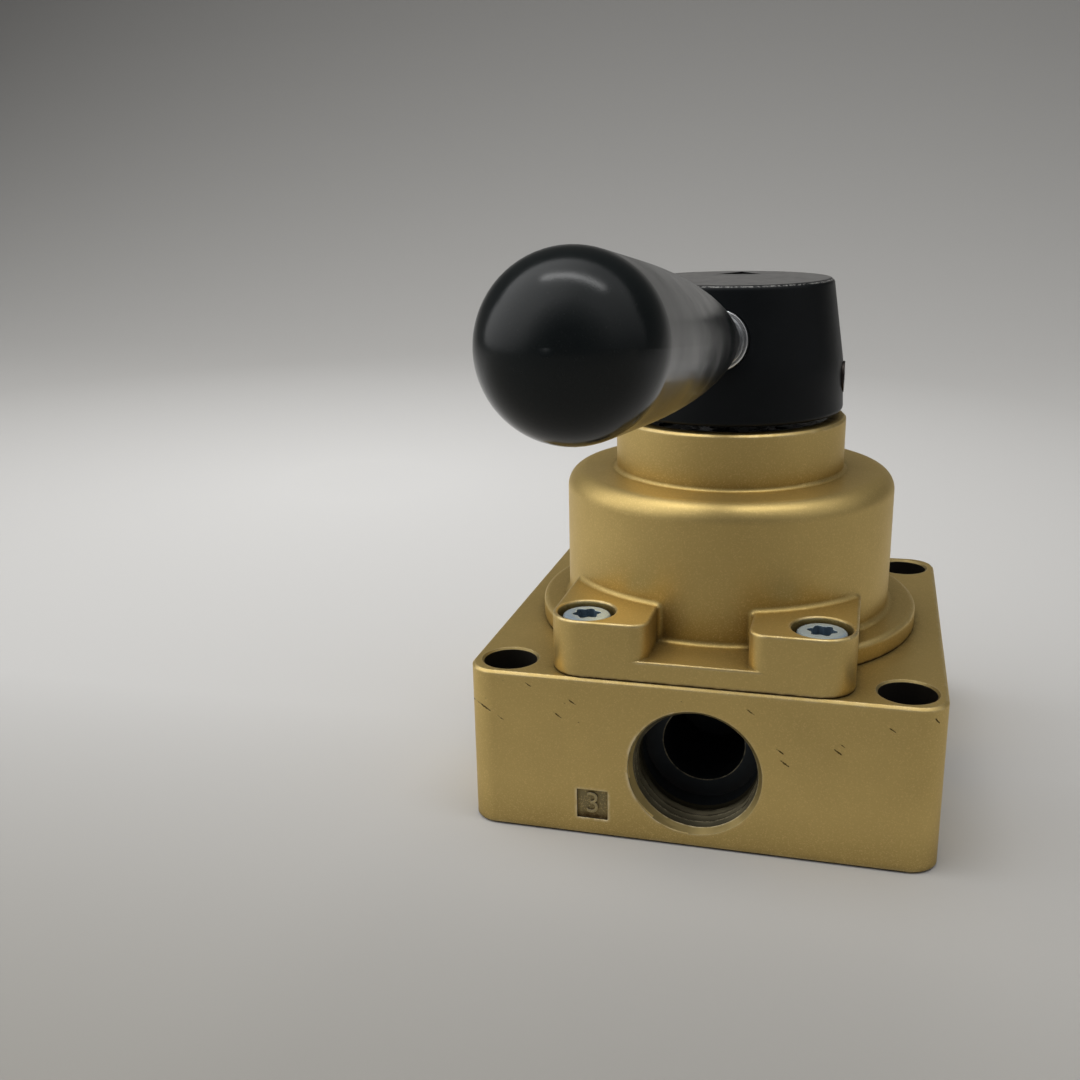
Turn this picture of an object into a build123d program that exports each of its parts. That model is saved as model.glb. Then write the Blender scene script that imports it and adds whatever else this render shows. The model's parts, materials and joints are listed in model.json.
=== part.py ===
from build123d import *
import os
from math import asin, cos, radians, sin, sqrt, tan

# Hand lever air valve: a rotary disc valve with four G 1/2 ports and three positions.
# Millimetres. The origin is the bottom centre of the square block, +Z is up along the
# stem, and the lever points along -Y in its middle position. All four ports lie at one
# height, on the middle of each side face.

# ---- Clearances, each used wherever its kind of fit occurs ----
SHAFT_GAP = 0.05        # radial, a shaft or pin in its bore
SEAT_GAP = 0.10         # radial, a plate or ring in its recess
FILM_GAP = 0.02         # axial, the lapped disc on its plate
THRUST_GAP = 0.05       # axial, each side of the thrust washer
SEAL_GAP = 0.02         # an O-ring and the wall it slides on
SCREW_GAP = 0.20        # radial, a screw in its clearance hole

# ---- Square block ----
BODY_WIDTH = 72.0
BODY_HEIGHT = 26.5
BODY_CORNER_RADIUS = 4.5
BODY_EDGE_BREAK = 0.4
MOUNT_HOLE_RADIUS = 4.25
MOUNT_HOLE_INSET = 5.75
MOUNT_HOLE_CHAMFER = 0.3
PORT_HEIGHT = 12.5
PORT_THREAD_RADIUS = 9.3
PORT_THREAD_DEPTH = 11.0
PORT_CHAMFER = 0.95
PASSAGE_RADIUS = 6.5
PASSAGE_END_ROOM = 1.2
STAMP_PAD_SIZE = 4.9
STAMP_PAD_DEPTH = 0.4
STAMP_PAD_OFFSET = 15.8
STAMP_PAD_HEIGHT = 5.4

# ---- Seat plate and the four valve holes ----
SEAT_RECESS_DEPTH = 5.0
SEAT_PLATE_THICKNESS = 4.0
VALVE_HOLE_CIRCLE = 14.0
VALVE_HOLE_RADIUS = 4.5
PORT_SEAL_SECTION = 0.8
PORT_SEAL_LAND = 0.8
SEAT_PIN_RADIUS = 1.5
SEAT_PIN_SET_IN = 4.7
SEAT_PIN_IN_PLATE = 3.0
SEAT_PIN_IN_BODY = 2.5

# ---- Bonnet ----
TOWER_RADIUS = 27.2
TOWER_HEIGHT = 25.8
TOWER_EDGE_RADIUS = 3.0
TOWER_WALL = 4.8
TOWER_FOOT_RADIUS = 0.8
NECK_RADIUS = 18.9
NECK_HEIGHT = 8.9
NECK_WALL = 2.7
NECK_EDGE_BREAK = 0.35
NECK_FOOT_RADIUS = 0.6
FLANGE_WIDTH = 4.5
FLANGE_THICKNESS = 3.4
FLANGE_EDGE_RADIUS = 0.8
WEB_EDGE_RADIUS = 0.3
COVER_INSET = 0.3
COVER_FOOT_CHAMFER = 0.25
EAR_HEIGHT = 9.1
EAR_INNER_X = 7.4
EAR_WALL = 0.7
EAR_INNER_RADIUS = 2.8
EAR_EDGE_RADIUS = 0.4
CHAMBER_HEIGHT = 19.6
SPIGOT_WALL = 1.7
COVER_SEAL_SECTION = 0.75
COVER_SEAL_LAND = 2.8

# ---- Cover screws ----
SCREW_SPREAD = 0.65     # the screws' X, as a share of the tower's radius
SCREW_RADIUS = 2.0
SCREW_LENGTH = 12.0
SCREW_THREAD_RELIEF = 1.5
HEAD_RADIUS = 3.75
HEAD_HEIGHT = 4.2
HEAD_EDGE_RADIUS = 0.5
HEAD_SOCKET_RADIUS = 2.1
HEAD_SOCKET_DEPTH = 2.0
HEAD_ROOM = 0.75
COUNTERBORE_CHAMFER = 0.2
WASHER_THICKNESS = 1.0
WASHER_SPLIT = 0.6

# ---- Stem and its bearing ----
JOURNAL_RADIUS = 6.0
STEM_FLANGE_RADIUS = 17.5
STEM_FLANGE_THICKNESS = 3.5
PILOT_RADIUS = 4.0
PILOT_DEPTH = 3.5
BUSH_WALL = 2.4
BUSH_FLANGE_WIDTH = 1.5
BUSH_FLANGE_THICKNESS = 1.0
STEM_SEAL_SECTION = 0.65
STEM_SEAL_SPACING = 4.0
THRUST_WASHER_INSET = 1.0
THRUST_WASHER_THICKNESS = 1.0
STEM_FLAT_DEPTH = 0.8

# ---- Rotary disc, its drive and its spring ----
DISC_ROOM = 0.9
DISC_THICKNESS = 6.5
KIDNEY_WIDTH = 7.5
KIDNEY_DEPTH = 4.0
KIDNEY_HALF_ANGLE = 45.0
DRIVE_PIN_RADIUS = 1.5
DRIVE_PIN_CIRCLE = 14.5
DRIVE_PIN_IN_DISC = 3.5
SPRING_RADIUS = 9.0
SPRING_WIRE_RADIUS = 1.0
SPRING_TURNS = 3

# ---- Detent ----
DETENT_STEP = 45.0
DETENT_PLATE_THICKNESS = 3.5
DETENT_RECESS_DEPTH = 4.0
DETENT_NOTCH_DEPTH = 0.3
DETENT_PIN_RADIUS = 1.0
DETENT_PIN_IN_PLATE = 2.0
DETENT_PIN_IN_BONNET = 2.5
BALL_RADIUS = 2.5
BALL_LIFT = 0.08        # the ball runs this far above the plate, between its notches
BALL_SPRING_RADIUS = 1.9
BALL_SPRING_WIRE = 0.35
BALL_SPRING_LENGTH = 4.4
BALL_SPRING_TURNS = 4

# ---- Knob ----
KNOB_GAP = 1.0
KNOB_HEIGHT = 21.2
KNOB_STEP = 0.6
KNOB_SKIRT_TAPER = 0.35
KNOB_WAIST_HEIGHT = 8.2
KNOB_TAPER = 2.3
KNOB_TOP_EDGE = 1.0
KNOB_BASE_EDGE = 0.8
KNOB_WALL = 2.6
KNOB_CAVITY_HEIGHT = 8.0
HUB_WALL = 3.8
BALL_BOSS_WALL = 1.6
STEM_TOP_BELOW_KNOB = 4.4

# ---- Grub screw in the knob's side ----
GRUB_RADIUS = 2.5
GRUB_HEIGHT = 5.5
GRUB_PROUD = 0.2
GRUB_BOSS_WALL = 1.6
GRUB_SOCKET_RADIUS = 1.4
GRUB_SOCKET_DEPTH = 2.2

# ---- Lever, measured along its own axis from the stem's axis ----
LEVER_TILT = 6.8
LEVER_HEIGHT_IN_KNOB = 11.1
ROD_RADIUS = 3.0
ROD_PAST_STEM_AXIS = 3.0
ROD_IN_GRIP = 24.0
COLLAR_RADIUS = 4.6
COLLAR_LENGTH = 5.0
COLLAR_PROUD = 2.0
GRIP_STANDOFF = 8.6
GRIP_LENGTH = 90.1
GRIP_SMALL_RADIUS = 4.0
GRIP_RADIUS = 7.8
GRIP_CYLINDER = 15.0
GRIP_MOUTH_RADIUS = 0.4

# ---- Levels and places worked out from the sizes above ----
HALF_WIDTH = BODY_WIDTH / 2
FLANGE_RADIUS = TOWER_RADIUS + FLANGE_WIDTH
CHAMBER_RADIUS = TOWER_RADIUS - TOWER_WALL
DISC_RADIUS = CHAMBER_RADIUS - DISC_ROOM
SEAT_RECESS_RADIUS = CHAMBER_RADIUS + SPIGOT_WALL + SEAT_GAP
SEAT_PIN_CIRCLE = SEAT_RECESS_RADIUS - SEAT_PIN_SET_IN
COVER_SEAL_RADIUS = SEAT_RECESS_RADIUS + COVER_SEAL_LAND
COVER_HALF_DEPTH = HALF_WIDTH - COVER_INSET
COUNTERBORE_RADIUS = HEAD_RADIUS + HEAD_ROOM
EAR_OUTER_RADIUS = COUNTERBORE_RADIUS + EAR_WALL
SCREW_X = SCREW_SPREAD * TOWER_RADIUS
SCREW_Y = COVER_HALF_DEPTH - EAR_OUTER_RADIUS
SCREW_POINTS = [(x, y) for x in (-SCREW_X, SCREW_X) for y in (-SCREW_Y, SCREW_Y)]
SEAT_FLOOR = BODY_HEIGHT - SEAT_RECESS_DEPTH
PLATE_TOP = SEAT_FLOOR + SEAT_PLATE_THICKNESS
DISC_BOTTOM = PLATE_TOP + FILM_GAP
DISC_TOP = DISC_BOTTOM + DISC_THICKNESS
FLANGE_TOP = BODY_HEIGHT + FLANGE_THICKNESS
EAR_TOP = BODY_HEIGHT + EAR_HEIGHT
EAR_OUTER_X = SCREW_X + EAR_OUTER_RADIUS
TOWER_TOP = BODY_HEIGHT + TOWER_HEIGHT
NECK_TOP = TOWER_TOP + NECK_HEIGHT
CEILING = BODY_HEIGHT + CHAMBER_HEIGHT
DETENT_FLOOR = NECK_TOP - DETENT_RECESS_DEPTH
DETENT_TOP = DETENT_FLOOR + DETENT_PLATE_THICKNESS
BUSH_RADIUS = JOURNAL_RADIUS + SHAFT_GAP + BUSH_WALL
BUSH_FLANGE_RADIUS = BUSH_RADIUS + BUSH_FLANGE_WIDTH
THRUST_WASHER_RADIUS = STEM_FLANGE_RADIUS - THRUST_WASHER_INSET
DETENT_RECESS_RADIUS = NECK_RADIUS - NECK_WALL
DETENT_CIRCLE = (DETENT_RECESS_RADIUS + BUSH_FLANGE_RADIUS) / 2
STEM_FLANGE_TOP = CEILING - THRUST_WASHER_THICKNESS - 2 * THRUST_GAP
STEM_FLANGE_BOTTOM = STEM_FLANGE_TOP - STEM_FLANGE_THICKNESS
KNOB_BASE_RADIUS = NECK_RADIUS - KNOB_STEP
KNOB_WAIST_RADIUS = KNOB_BASE_RADIUS - KNOB_SKIRT_TAPER
KNOB_TOP_RADIUS = KNOB_BASE_RADIUS - KNOB_TAPER
HUB_RADIUS = JOURNAL_RADIUS + HUB_WALL
KNOB_BOTTOM = NECK_TOP + KNOB_GAP
KNOB_TOP = KNOB_BOTTOM + KNOB_HEIGHT
KNOB_ROOF = KNOB_BOTTOM + KNOB_CAVITY_HEIGHT
STEM_TOP = KNOB_TOP - STEM_TOP_BELOW_KNOB
BALL_HEIGHT = DETENT_TOP + BALL_RADIUS + BALL_LIFT
BALL_POCKET_RADIUS = BALL_RADIUS + SHAFT_GAP
BALL_POCKET_TOP = BALL_HEIGHT + BALL_RADIUS + BALL_SPRING_LENGTH
BALL_ANGLES = (90, 270)
GRUB_LEVEL = KNOB_BOTTOM + GRUB_HEIGHT
STEM_FLAT_X = JOURNAL_RADIUS - STEM_FLAT_DEPTH
HEAD_BOTTOM = FLANGE_TOP + WASHER_THICKNESS
LEVER_AXIS_HEIGHT = KNOB_BOTTOM + LEVER_HEIGHT_IN_KNOB


def knob_radius(height):
    """Outer radius of the knob above its waist, at a height above its bottom."""
    share = (height - KNOB_WAIST_HEIGHT) / (KNOB_HEIGHT - KNOB_WAIST_HEIGHT)
    return KNOB_WAIST_RADIUS + (KNOB_TOP_RADIUS - KNOB_WAIST_RADIUS) * share


# The lever leaves the knob's side where its axis crosses the tapered face.
LEVER_EXIT = knob_radius(LEVER_HEIGHT_IN_KNOB + KNOB_WAIST_RADIUS * tan(radians(LEVER_TILT)))
LEVER_EXIT = LEVER_EXIT / cos(radians(LEVER_TILT))
GRIP_START = LEVER_EXIT + GRIP_STANDOFF


UPRIGHT = (Align.CENTER, Align.CENTER, Align.MIN)
SAME_PLACE = 0.02       # two places closer than this are taken as one


def cylinder(radius, bottom, top):
    """Upright cylinder on the stem's axis, between two levels."""
    return Pos(0, 0, bottom) * extrude(Circle(radius), amount=top - bottom)


def tube(outer, inner, bottom, top):
    """Upright tube on the stem's axis, between two levels."""
    return Pos(0, 0, bottom) * extrude(Circle(outer) - Circle(inner), amount=top - bottom)


def post(x, y, radius, bottom, top):
    """Upright cylinder at a place, between two levels."""
    return Pos(x, y, 0) * cylinder(radius, bottom, top)


def chamfered_hole(x, y, radius, bottom, top, break_size):
    """Cutter for an upright hole whose rim at the top is broken."""
    rim = Pos(x, y, top - break_size) * Cone(radius, radius + break_size, break_size, align=UPRIGHT)
    return post(x, y, radius, bottom, top) + rim


def ring(x, y, z, radius, section):
    """O-ring lying flat."""
    return Pos(x, y, z) * Torus(radius, section)


def around(shape, angles):
    """Copies of a shape turned about the stem's axis."""
    return [Rot(0, 0, angle) * shape for angle in angles]


def on_circle(radius, angle):
    """Point on a circle about the stem's axis."""
    return radius * cos(radians(angle)), radius * sin(radians(angle))


def along_lever(shape):
    """Turn a shape built along +Z so that it lies along the lever's axis."""
    return Pos(0, 0, LEVER_AXIS_HEIGHT) * Rot(90 - LEVER_TILT, 0, 0) * shape


def coil(radius, wire, bottom, top, turns):
    """Helical spring of round wire between two levels."""
    height = top - bottom - 2 * wire
    path = Helix(pitch=height / turns, height=height, radius=radius)
    section = Plane(origin=path @ 0, z_dir=path % 0) * Circle(wire)
    return Pos(0, 0, bottom + wire) * sweep(section, path=path)


# ---------------------------------------------------------------- fixed pieces
def port_cut():
    """Threaded port with its chamfer, and the passage behind it, on the -Y face."""
    passage_end = HALF_WIDTH - VALVE_HOLE_CIRCLE + VALVE_HOLE_RADIUS + PASSAGE_END_ROOM
    outline = Polyline(
        (0, 0),
        (PORT_THREAD_RADIUS + PORT_CHAMFER, 0),
        (PORT_THREAD_RADIUS, PORT_CHAMFER),
        (PORT_THREAD_RADIUS, PORT_THREAD_DEPTH),
        (PASSAGE_RADIUS, PORT_THREAD_DEPTH),
        (PASSAGE_RADIUS, passage_end),
        (0, passage_end),
        close=True,
    )
    bore = revolve(Plane.XY * make_face(outline), axis=Axis.Y)
    return Pos(0, -HALF_WIDTH, PORT_HEIGHT) * bore


def stamp_pad_cut():
    """Shallow square pocket beside a port, for its stamped port number."""
    pad = Box(STAMP_PAD_SIZE, 2 * STAMP_PAD_DEPTH, STAMP_PAD_SIZE)
    return Pos(-STAMP_PAD_OFFSET, -HALF_WIDTH, STAMP_PAD_HEIGHT) * pad


def port_seal_groove():
    """Annular groove in the seat floor around the first valve hole."""
    inner = VALVE_HOLE_RADIUS + PORT_SEAL_LAND
    outer = inner + 2 * (PORT_SEAL_SECTION + SEAL_GAP)
    depth = 2 * PORT_SEAL_SECTION + SEAL_GAP
    return Pos(VALVE_HOLE_CIRCLE, 0, 0) * tube(outer, inner, SEAT_FLOOR - depth, SEAT_FLOOR)


def seat_pin_points():
    return [on_circle(SEAT_PIN_CIRCLE, angle) for angle in (45, 225)]


def valve_body():
    """Square block: fixing holes, ports, passages up to the seat, and the seat recess."""
    block = extrude(RectangleRounded(BODY_WIDTH, BODY_WIDTH, BODY_CORNER_RADIUS), amount=BODY_HEIGHT)
    rims = block.faces().sort_by(Axis.Z)[0].edges() + block.faces().sort_by(Axis.Z)[-1].edges()
    block = chamfer(rims, BODY_EDGE_BREAK)

    mount = HALF_WIDTH - MOUNT_HOLE_INSET
    for x in (-mount, mount):
        for y in (-mount, mount):
            hole = chamfered_hole(x, y, MOUNT_HOLE_RADIUS, 0, BODY_HEIGHT, MOUNT_HOLE_CHAMFER)
            block -= hole + Pos(0, 0, BODY_HEIGHT) * mirror(hole, Plane.XY)

    block -= cylinder(SEAT_RECESS_RADIUS, SEAT_FLOOR, BODY_HEIGHT)
    for angle in (0, 90, 180, 270):
        turn = Rot(0, 0, angle)
        block -= turn * port_cut()
        block -= turn * stamp_pad_cut()
        block -= turn * post(VALVE_HOLE_CIRCLE, 0, VALVE_HOLE_RADIUS, PORT_HEIGHT, SEAT_FLOOR)
        block -= turn * port_seal_groove()

    for x, y in seat_pin_points():
        block -= post(x, y, SEAT_PIN_RADIUS + SHAFT_GAP, SEAT_FLOOR - SEAT_PIN_IN_BODY, SEAT_FLOOR)
    seal_half = COVER_SEAL_SECTION + SEAL_GAP
    block -= tube(
        COVER_SEAL_RADIUS + seal_half,
        COVER_SEAL_RADIUS - seal_half,
        BODY_HEIGHT - 2 * COVER_SEAL_SECTION - SEAL_GAP,
        BODY_HEIGHT,
    )
    screw_tip = HEAD_BOTTOM - SCREW_LENGTH
    for x, y in SCREW_POINTS:
        block -= post(x, y, SCREW_RADIUS + SHAFT_GAP, screw_tip - SCREW_THREAD_RELIEF, BODY_HEIGHT)
    return block


def ear():
    """One screw ear, at +X -Y, rounded about its counterbore and at its inner corner."""
    back = -sqrt(TOWER_RADIUS**2 - EAR_OUTER_X**2) + EAR_WALL
    width = EAR_OUTER_X - EAR_INNER_X
    depth = COVER_HALF_DEPTH + back
    centre = Pos((EAR_OUTER_X + EAR_INNER_X) / 2, (back - COVER_HALF_DEPTH) / 2)
    outline = centre * Rectangle(width, depth)
    front = outline.vertices().filter_by(lambda v: v.Y < -COVER_HALF_DEPTH + EAR_WALL).sort_by(Axis.X)
    outline = fillet(front[-1], EAR_OUTER_RADIUS)
    front = outline.vertices().sort_by(Axis.X).filter_by(lambda v: v.Y < -COVER_HALF_DEPTH + EAR_WALL)
    outline = fillet(front[0], EAR_INNER_RADIUS)
    return Pos(0, 0, BODY_HEIGHT) * extrude(outline, amount=EAR_HEIGHT)


def on_tower_wall(edge):
    """True for an edge that lies on the tower's side, no higher than the ears."""
    middle = edge @ 0.5
    off_wall = abs(sqrt(middle.X**2 + middle.Y**2) - TOWER_RADIUS)
    return off_wall < SAME_PLACE and middle.Z < EAR_TOP + SAME_PLACE


def level_with(height):
    """Test for an edge that lies wholly at one level."""
    return lambda edge: max(abs((edge @ end).Z - height) for end in (0, 0.5, 1)) < SAME_PLACE


def cover_casting():
    """Outside of the bonnet: flange, front and back webs with ears, tower and neck."""
    flange = cylinder(FLANGE_RADIUS, BODY_HEIGHT, FLANGE_TOP)
    flange = fillet(flange.edges().sort_by(Axis.Z)[-1], FLANGE_EDGE_RADIUS)
    outline = RectangleRounded(2 * EAR_OUTER_X, 2 * COVER_HALF_DEPTH, EAR_OUTER_RADIUS)
    web = Pos(0, 0, BODY_HEIGHT) * extrude(outline, amount=FLANGE_THICKNESS)
    web = fillet(web.edges().filter_by(level_with(FLANGE_TOP)), WEB_EDGE_RADIUS)
    casting = flange + web

    tower = cylinder(TOWER_RADIUS, BODY_HEIGHT, TOWER_TOP)
    tower = fillet(tower.edges().sort_by(Axis.Z)[-1], TOWER_EDGE_RADIUS)
    neck = cylinder(NECK_RADIUS, TOWER_TOP - TOWER_EDGE_RADIUS, NECK_TOP)
    neck = chamfer(neck.edges().sort_by(Axis.Z)[-1], NECK_EDGE_BREAK)
    casting += tower
    casting += neck
    one = ear()
    for shape in (one, mirror(one, Plane.YZ)):
        casting += shape
        casting += mirror(shape, Plane.XZ)

    ear_rims = casting.edges().filter_by(level_with(EAR_TOP))
    ear_rims = ear_rims.filter_by(lambda edge: not on_tower_wall(edge))
    casting = fillet(ear_rims, EAR_EDGE_RADIUS)
    casting = fillet(casting.edges().filter_by(on_tower_wall), TOWER_FOOT_RADIUS)
    neck_foot = casting.edges().filter_by(level_with(TOWER_TOP)).sort_by(SortBy.LENGTH)[0]
    casting = fillet(neck_foot, NECK_FOOT_RADIUS)
    return chamfer(casting.edges().filter_by(level_with(BODY_HEIGHT)), COVER_FOOT_CHAMFER)


def bonnet():
    """Cast cover with its screw holes, spigot, chamber, bush bore and detent recess."""
    cover = cover_casting()
    for x, y in SCREW_POINTS:
        cover -= chamfered_hole(x, y, COUNTERBORE_RADIUS, FLANGE_TOP, EAR_TOP, COUNTERBORE_CHAMFER)
        cover -= post(x, y, SCREW_RADIUS + SCREW_GAP, BODY_HEIGHT, FLANGE_TOP)

    cover += cylinder(SEAT_RECESS_RADIUS - SEAT_GAP, PLATE_TOP, BODY_HEIGHT)
    cover -= cylinder(CHAMBER_RADIUS, PLATE_TOP, CEILING)
    cover -= cylinder(BUSH_RADIUS + SHAFT_GAP, CEILING, DETENT_FLOOR)
    cover -= cylinder(DETENT_RECESS_RADIUS, DETENT_FLOOR, NECK_TOP)
    for x, y in detent_pin_points():
        cover -= post(x, y, DETENT_PIN_RADIUS + SHAFT_GAP, DETENT_FLOOR - DETENT_PIN_IN_BONNET, DETENT_FLOOR)
    return cover


def cover_screws():
    """Four cap screws; the head stands on its split washer in the counterbore."""
    head = cylinder(HEAD_RADIUS, HEAD_BOTTOM, HEAD_BOTTOM + HEAD_HEIGHT)
    head = fillet(head.edges().sort_by(Axis.Z)[-1], HEAD_EDGE_RADIUS)
    screw = head + cylinder(SCREW_RADIUS, HEAD_BOTTOM - SCREW_LENGTH, HEAD_BOTTOM)
    socket = extrude(RegularPolygon(HEAD_SOCKET_RADIUS, 6), amount=HEAD_SOCKET_DEPTH)
    screw -= Pos(0, 0, HEAD_BOTTOM + HEAD_HEIGHT - HEAD_SOCKET_DEPTH) * socket
    return [Pos(x, y, 0) * screw for x, y in SCREW_POINTS]


def spring_washers():
    """Four split spring washers."""
    washer = tube(HEAD_RADIUS, SCREW_RADIUS + SCREW_GAP, FLANGE_TOP, HEAD_BOTTOM)
    split = Pos(HEAD_RADIUS, 0, FLANGE_TOP + WASHER_THICKNESS / 2)
    washer -= split * Box(2 * HEAD_RADIUS, WASHER_SPLIT, 2 * WASHER_THICKNESS)
    return [Pos(x, y, 0) * washer for x, y in SCREW_POINTS]


def bonnet_o_ring():
    """Static seal in the groove of the block's top face."""
    return ring(0, 0, BODY_HEIGHT - SEAL_GAP / 2 - COVER_SEAL_SECTION, COVER_SEAL_RADIUS, COVER_SEAL_SECTION)


def seat_plate():
    """Lapped plate with the four valve holes, clamped by the bonnet's spigot."""
    plate = cylinder(SEAT_RECESS_RADIUS - SEAT_GAP, SEAT_FLOOR, PLATE_TOP)
    for angle in (0, 90, 180, 270):
        plate -= post(*on_circle(VALVE_HOLE_CIRCLE, angle), VALVE_HOLE_RADIUS, SEAT_FLOOR, PLATE_TOP)
    for x, y in seat_pin_points():
        plate -= post(x, y, SEAT_PIN_RADIUS + SHAFT_GAP, SEAT_FLOOR, SEAT_FLOOR + SEAT_PIN_IN_PLATE)
    return plate


def port_seals():
    """Four O-rings in their grooves under the seat plate."""
    radius = VALVE_HOLE_RADIUS + PORT_SEAL_LAND + SEAL_GAP + PORT_SEAL_SECTION
    seal = ring(VALVE_HOLE_CIRCLE, 0, SEAT_FLOOR - SEAL_GAP / 2 - PORT_SEAL_SECTION, radius, PORT_SEAL_SECTION)
    return around(seal, (0, 90, 180, 270))


def seat_pins():
    """Two dowels between the block and the seat plate."""
    low = SEAT_FLOOR - SEAT_PIN_IN_BODY
    high = SEAT_FLOOR + SEAT_PIN_IN_PLATE
    return [post(x, y, SEAT_PIN_RADIUS, low, high) for x, y in seat_pin_points()]


def stem_bush():
    """Flanged plain bearing, pushed into the neck from above."""
    inner = JOURNAL_RADIUS + SHAFT_GAP
    flange = tube(BUSH_FLANGE_RADIUS, inner, DETENT_FLOOR, DETENT_FLOOR + BUSH_FLANGE_THICKNESS)
    return tube(BUSH_RADIUS, inner, CEILING, DETENT_FLOOR) + flange


def detent_pin_points():
    return [on_circle(DETENT_CIRCLE, angle) for angle in (0, 180)]


def detent_plate():
    """Hardened ring in the neck's recess, with a notch for each ball at each lever position."""
    plate = tube(
        DETENT_RECESS_RADIUS - SEAT_GAP,
        BUSH_FLANGE_RADIUS + SEAT_GAP,
        DETENT_FLOOR,
        DETENT_TOP,
    )
    notch = Pos(DETENT_CIRCLE, 0, DETENT_TOP + BALL_RADIUS - DETENT_NOTCH_DEPTH) * Sphere(BALL_RADIUS)
    for ball in BALL_ANGLES:
        for step in (-DETENT_STEP, 0, DETENT_STEP):
            plate -= Rot(0, 0, ball + step) * notch
    for x, y in detent_pin_points():
        plate -= post(x, y, DETENT_PIN_RADIUS + SHAFT_GAP, DETENT_FLOOR, DETENT_FLOOR + DETENT_PIN_IN_PLATE)
    return plate


def detent_plate_pins():
    """Two dowels that keep the detent plate from turning in the neck."""
    low = DETENT_FLOOR - DETENT_PIN_IN_BONNET
    high = DETENT_FLOOR + DETENT_PIN_IN_PLATE
    return [post(x, y, DETENT_PIN_RADIUS, low, high) for x, y in detent_pin_points()]


# -------------------------------------------------------------- turning pieces
def stem_seal_levels():
    middle = (CEILING + DETENT_FLOOR) / 2
    return [middle - STEM_SEAL_SPACING / 2, middle + STEM_SEAL_SPACING / 2]


def stem():
    """Pilot, drive flange and journal with two seal grooves; flat and cross hole at the top."""
    shaft = cylinder(PILOT_RADIUS, DISC_TOP - PILOT_DEPTH, STEM_FLANGE_BOTTOM)
    shaft += cylinder(STEM_FLANGE_RADIUS, STEM_FLANGE_BOTTOM, STEM_FLANGE_TOP)
    shaft += cylinder(JOURNAL_RADIUS, STEM_FLANGE_TOP, STEM_TOP)
    groove_radius = JOURNAL_RADIUS + SHAFT_GAP - 2 * STEM_SEAL_SECTION - 2 * SEAL_GAP
    half = STEM_SEAL_SECTION + SEAL_GAP
    for level in stem_seal_levels():
        shaft -= tube(2 * JOURNAL_RADIUS, groove_radius, level - half, level + half)
    for angle in (90, 270):
        x, y = on_circle(DRIVE_PIN_CIRCLE, angle)
        shaft -= post(x, y, DRIVE_PIN_RADIUS + SHAFT_GAP, STEM_FLANGE_BOTTOM, STEM_FLANGE_TOP)
    flat = Box(2 * JOURNAL_RADIUS, 2 * JOURNAL_RADIUS, STEM_TOP - KNOB_BOTTOM)
    shaft -= Pos(STEM_FLAT_X + JOURNAL_RADIUS, 0, (STEM_TOP + KNOB_BOTTOM) / 2) * flat
    shaft -= along_lever(cylinder(ROD_RADIUS + SHAFT_GAP, -ROD_PAST_STEM_AXIS, 2 * JOURNAL_RADIUS))
    return shaft


def rotary_disc():
    """Disc with two kidney grooves below; each joins two ports at either end of the travel."""
    disc = cylinder(DISC_RADIUS, DISC_BOTTOM, DISC_TOP)
    start = -KIDNEY_HALF_ANGLE
    line = CenterArc((0, 0), VALVE_HOLE_CIRCLE, start, 2 * KIDNEY_HALF_ANGLE)
    kidney = Pos(0, 0, DISC_BOTTOM) * extrude(SlotArc(line, KIDNEY_WIDTH), amount=KIDNEY_DEPTH)
    for shape in around(kidney, (0, 180)):
        disc -= shape
    disc -= cylinder(PILOT_RADIUS + SHAFT_GAP, DISC_TOP - PILOT_DEPTH - SHAFT_GAP, DISC_TOP)
    for angle in (90, 270):
        x, y = on_circle(DRIVE_PIN_CIRCLE, angle)
        disc -= post(x, y, DRIVE_PIN_RADIUS + SHAFT_GAP, DISC_TOP - DRIVE_PIN_IN_DISC, DISC_TOP)
    return disc


def drive_pins():
    """Two dowels pressed in the stem flange; the disc slides on them."""
    points = [on_circle(DRIVE_PIN_CIRCLE, angle) for angle in (90, 270)]
    low = DISC_TOP - DRIVE_PIN_IN_DISC
    return [post(x, y, DRIVE_PIN_RADIUS, low, STEM_FLANGE_TOP) for x, y in points]


def disc_spring():
    """Coil spring between the stem flange and the disc."""
    return coil(SPRING_RADIUS, SPRING_WIRE_RADIUS, DISC_TOP, STEM_FLANGE_BOTTOM, SPRING_TURNS)


def thrust_washer():
    """Plain washer between the stem flange and the chamber's ceiling."""
    low = STEM_FLANGE_TOP + THRUST_GAP
    return tube(THRUST_WASHER_RADIUS, BUSH_RADIUS, low, low + THRUST_WASHER_THICKNESS)


def stem_seals():
    """Two O-rings in the journal's grooves."""
    radius = JOURNAL_RADIUS + SHAFT_GAP - SEAL_GAP - STEM_SEAL_SECTION
    return [ring(0, 0, level, radius, STEM_SEAL_SECTION) for level in stem_seal_levels()]


def knob_outline():
    """Half section of the knob's outside, with its rounded top and bottom rims."""
    profile = Polyline(
        (0, KNOB_BOTTOM),
        (KNOB_BASE_RADIUS, KNOB_BOTTOM),
        (KNOB_WAIST_RADIUS, KNOB_BOTTOM + KNOB_WAIST_HEIGHT),
        (KNOB_TOP_RADIUS, KNOB_TOP),
        (0, KNOB_TOP),
        close=True,
    )
    face = make_face(profile)
    rims = face.vertices().filter_by(lambda v: v.X > KNOB_TOP_RADIUS / 2).sort_by(Axis.Y)
    face = fillet(rims[-1], KNOB_TOP_EDGE)
    rims = face.vertices().filter_by(lambda v: v.X > KNOB_TOP_RADIUS / 2).sort_by(Axis.Y)
    return fillet(rims[0], KNOB_BASE_EDGE)


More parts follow.
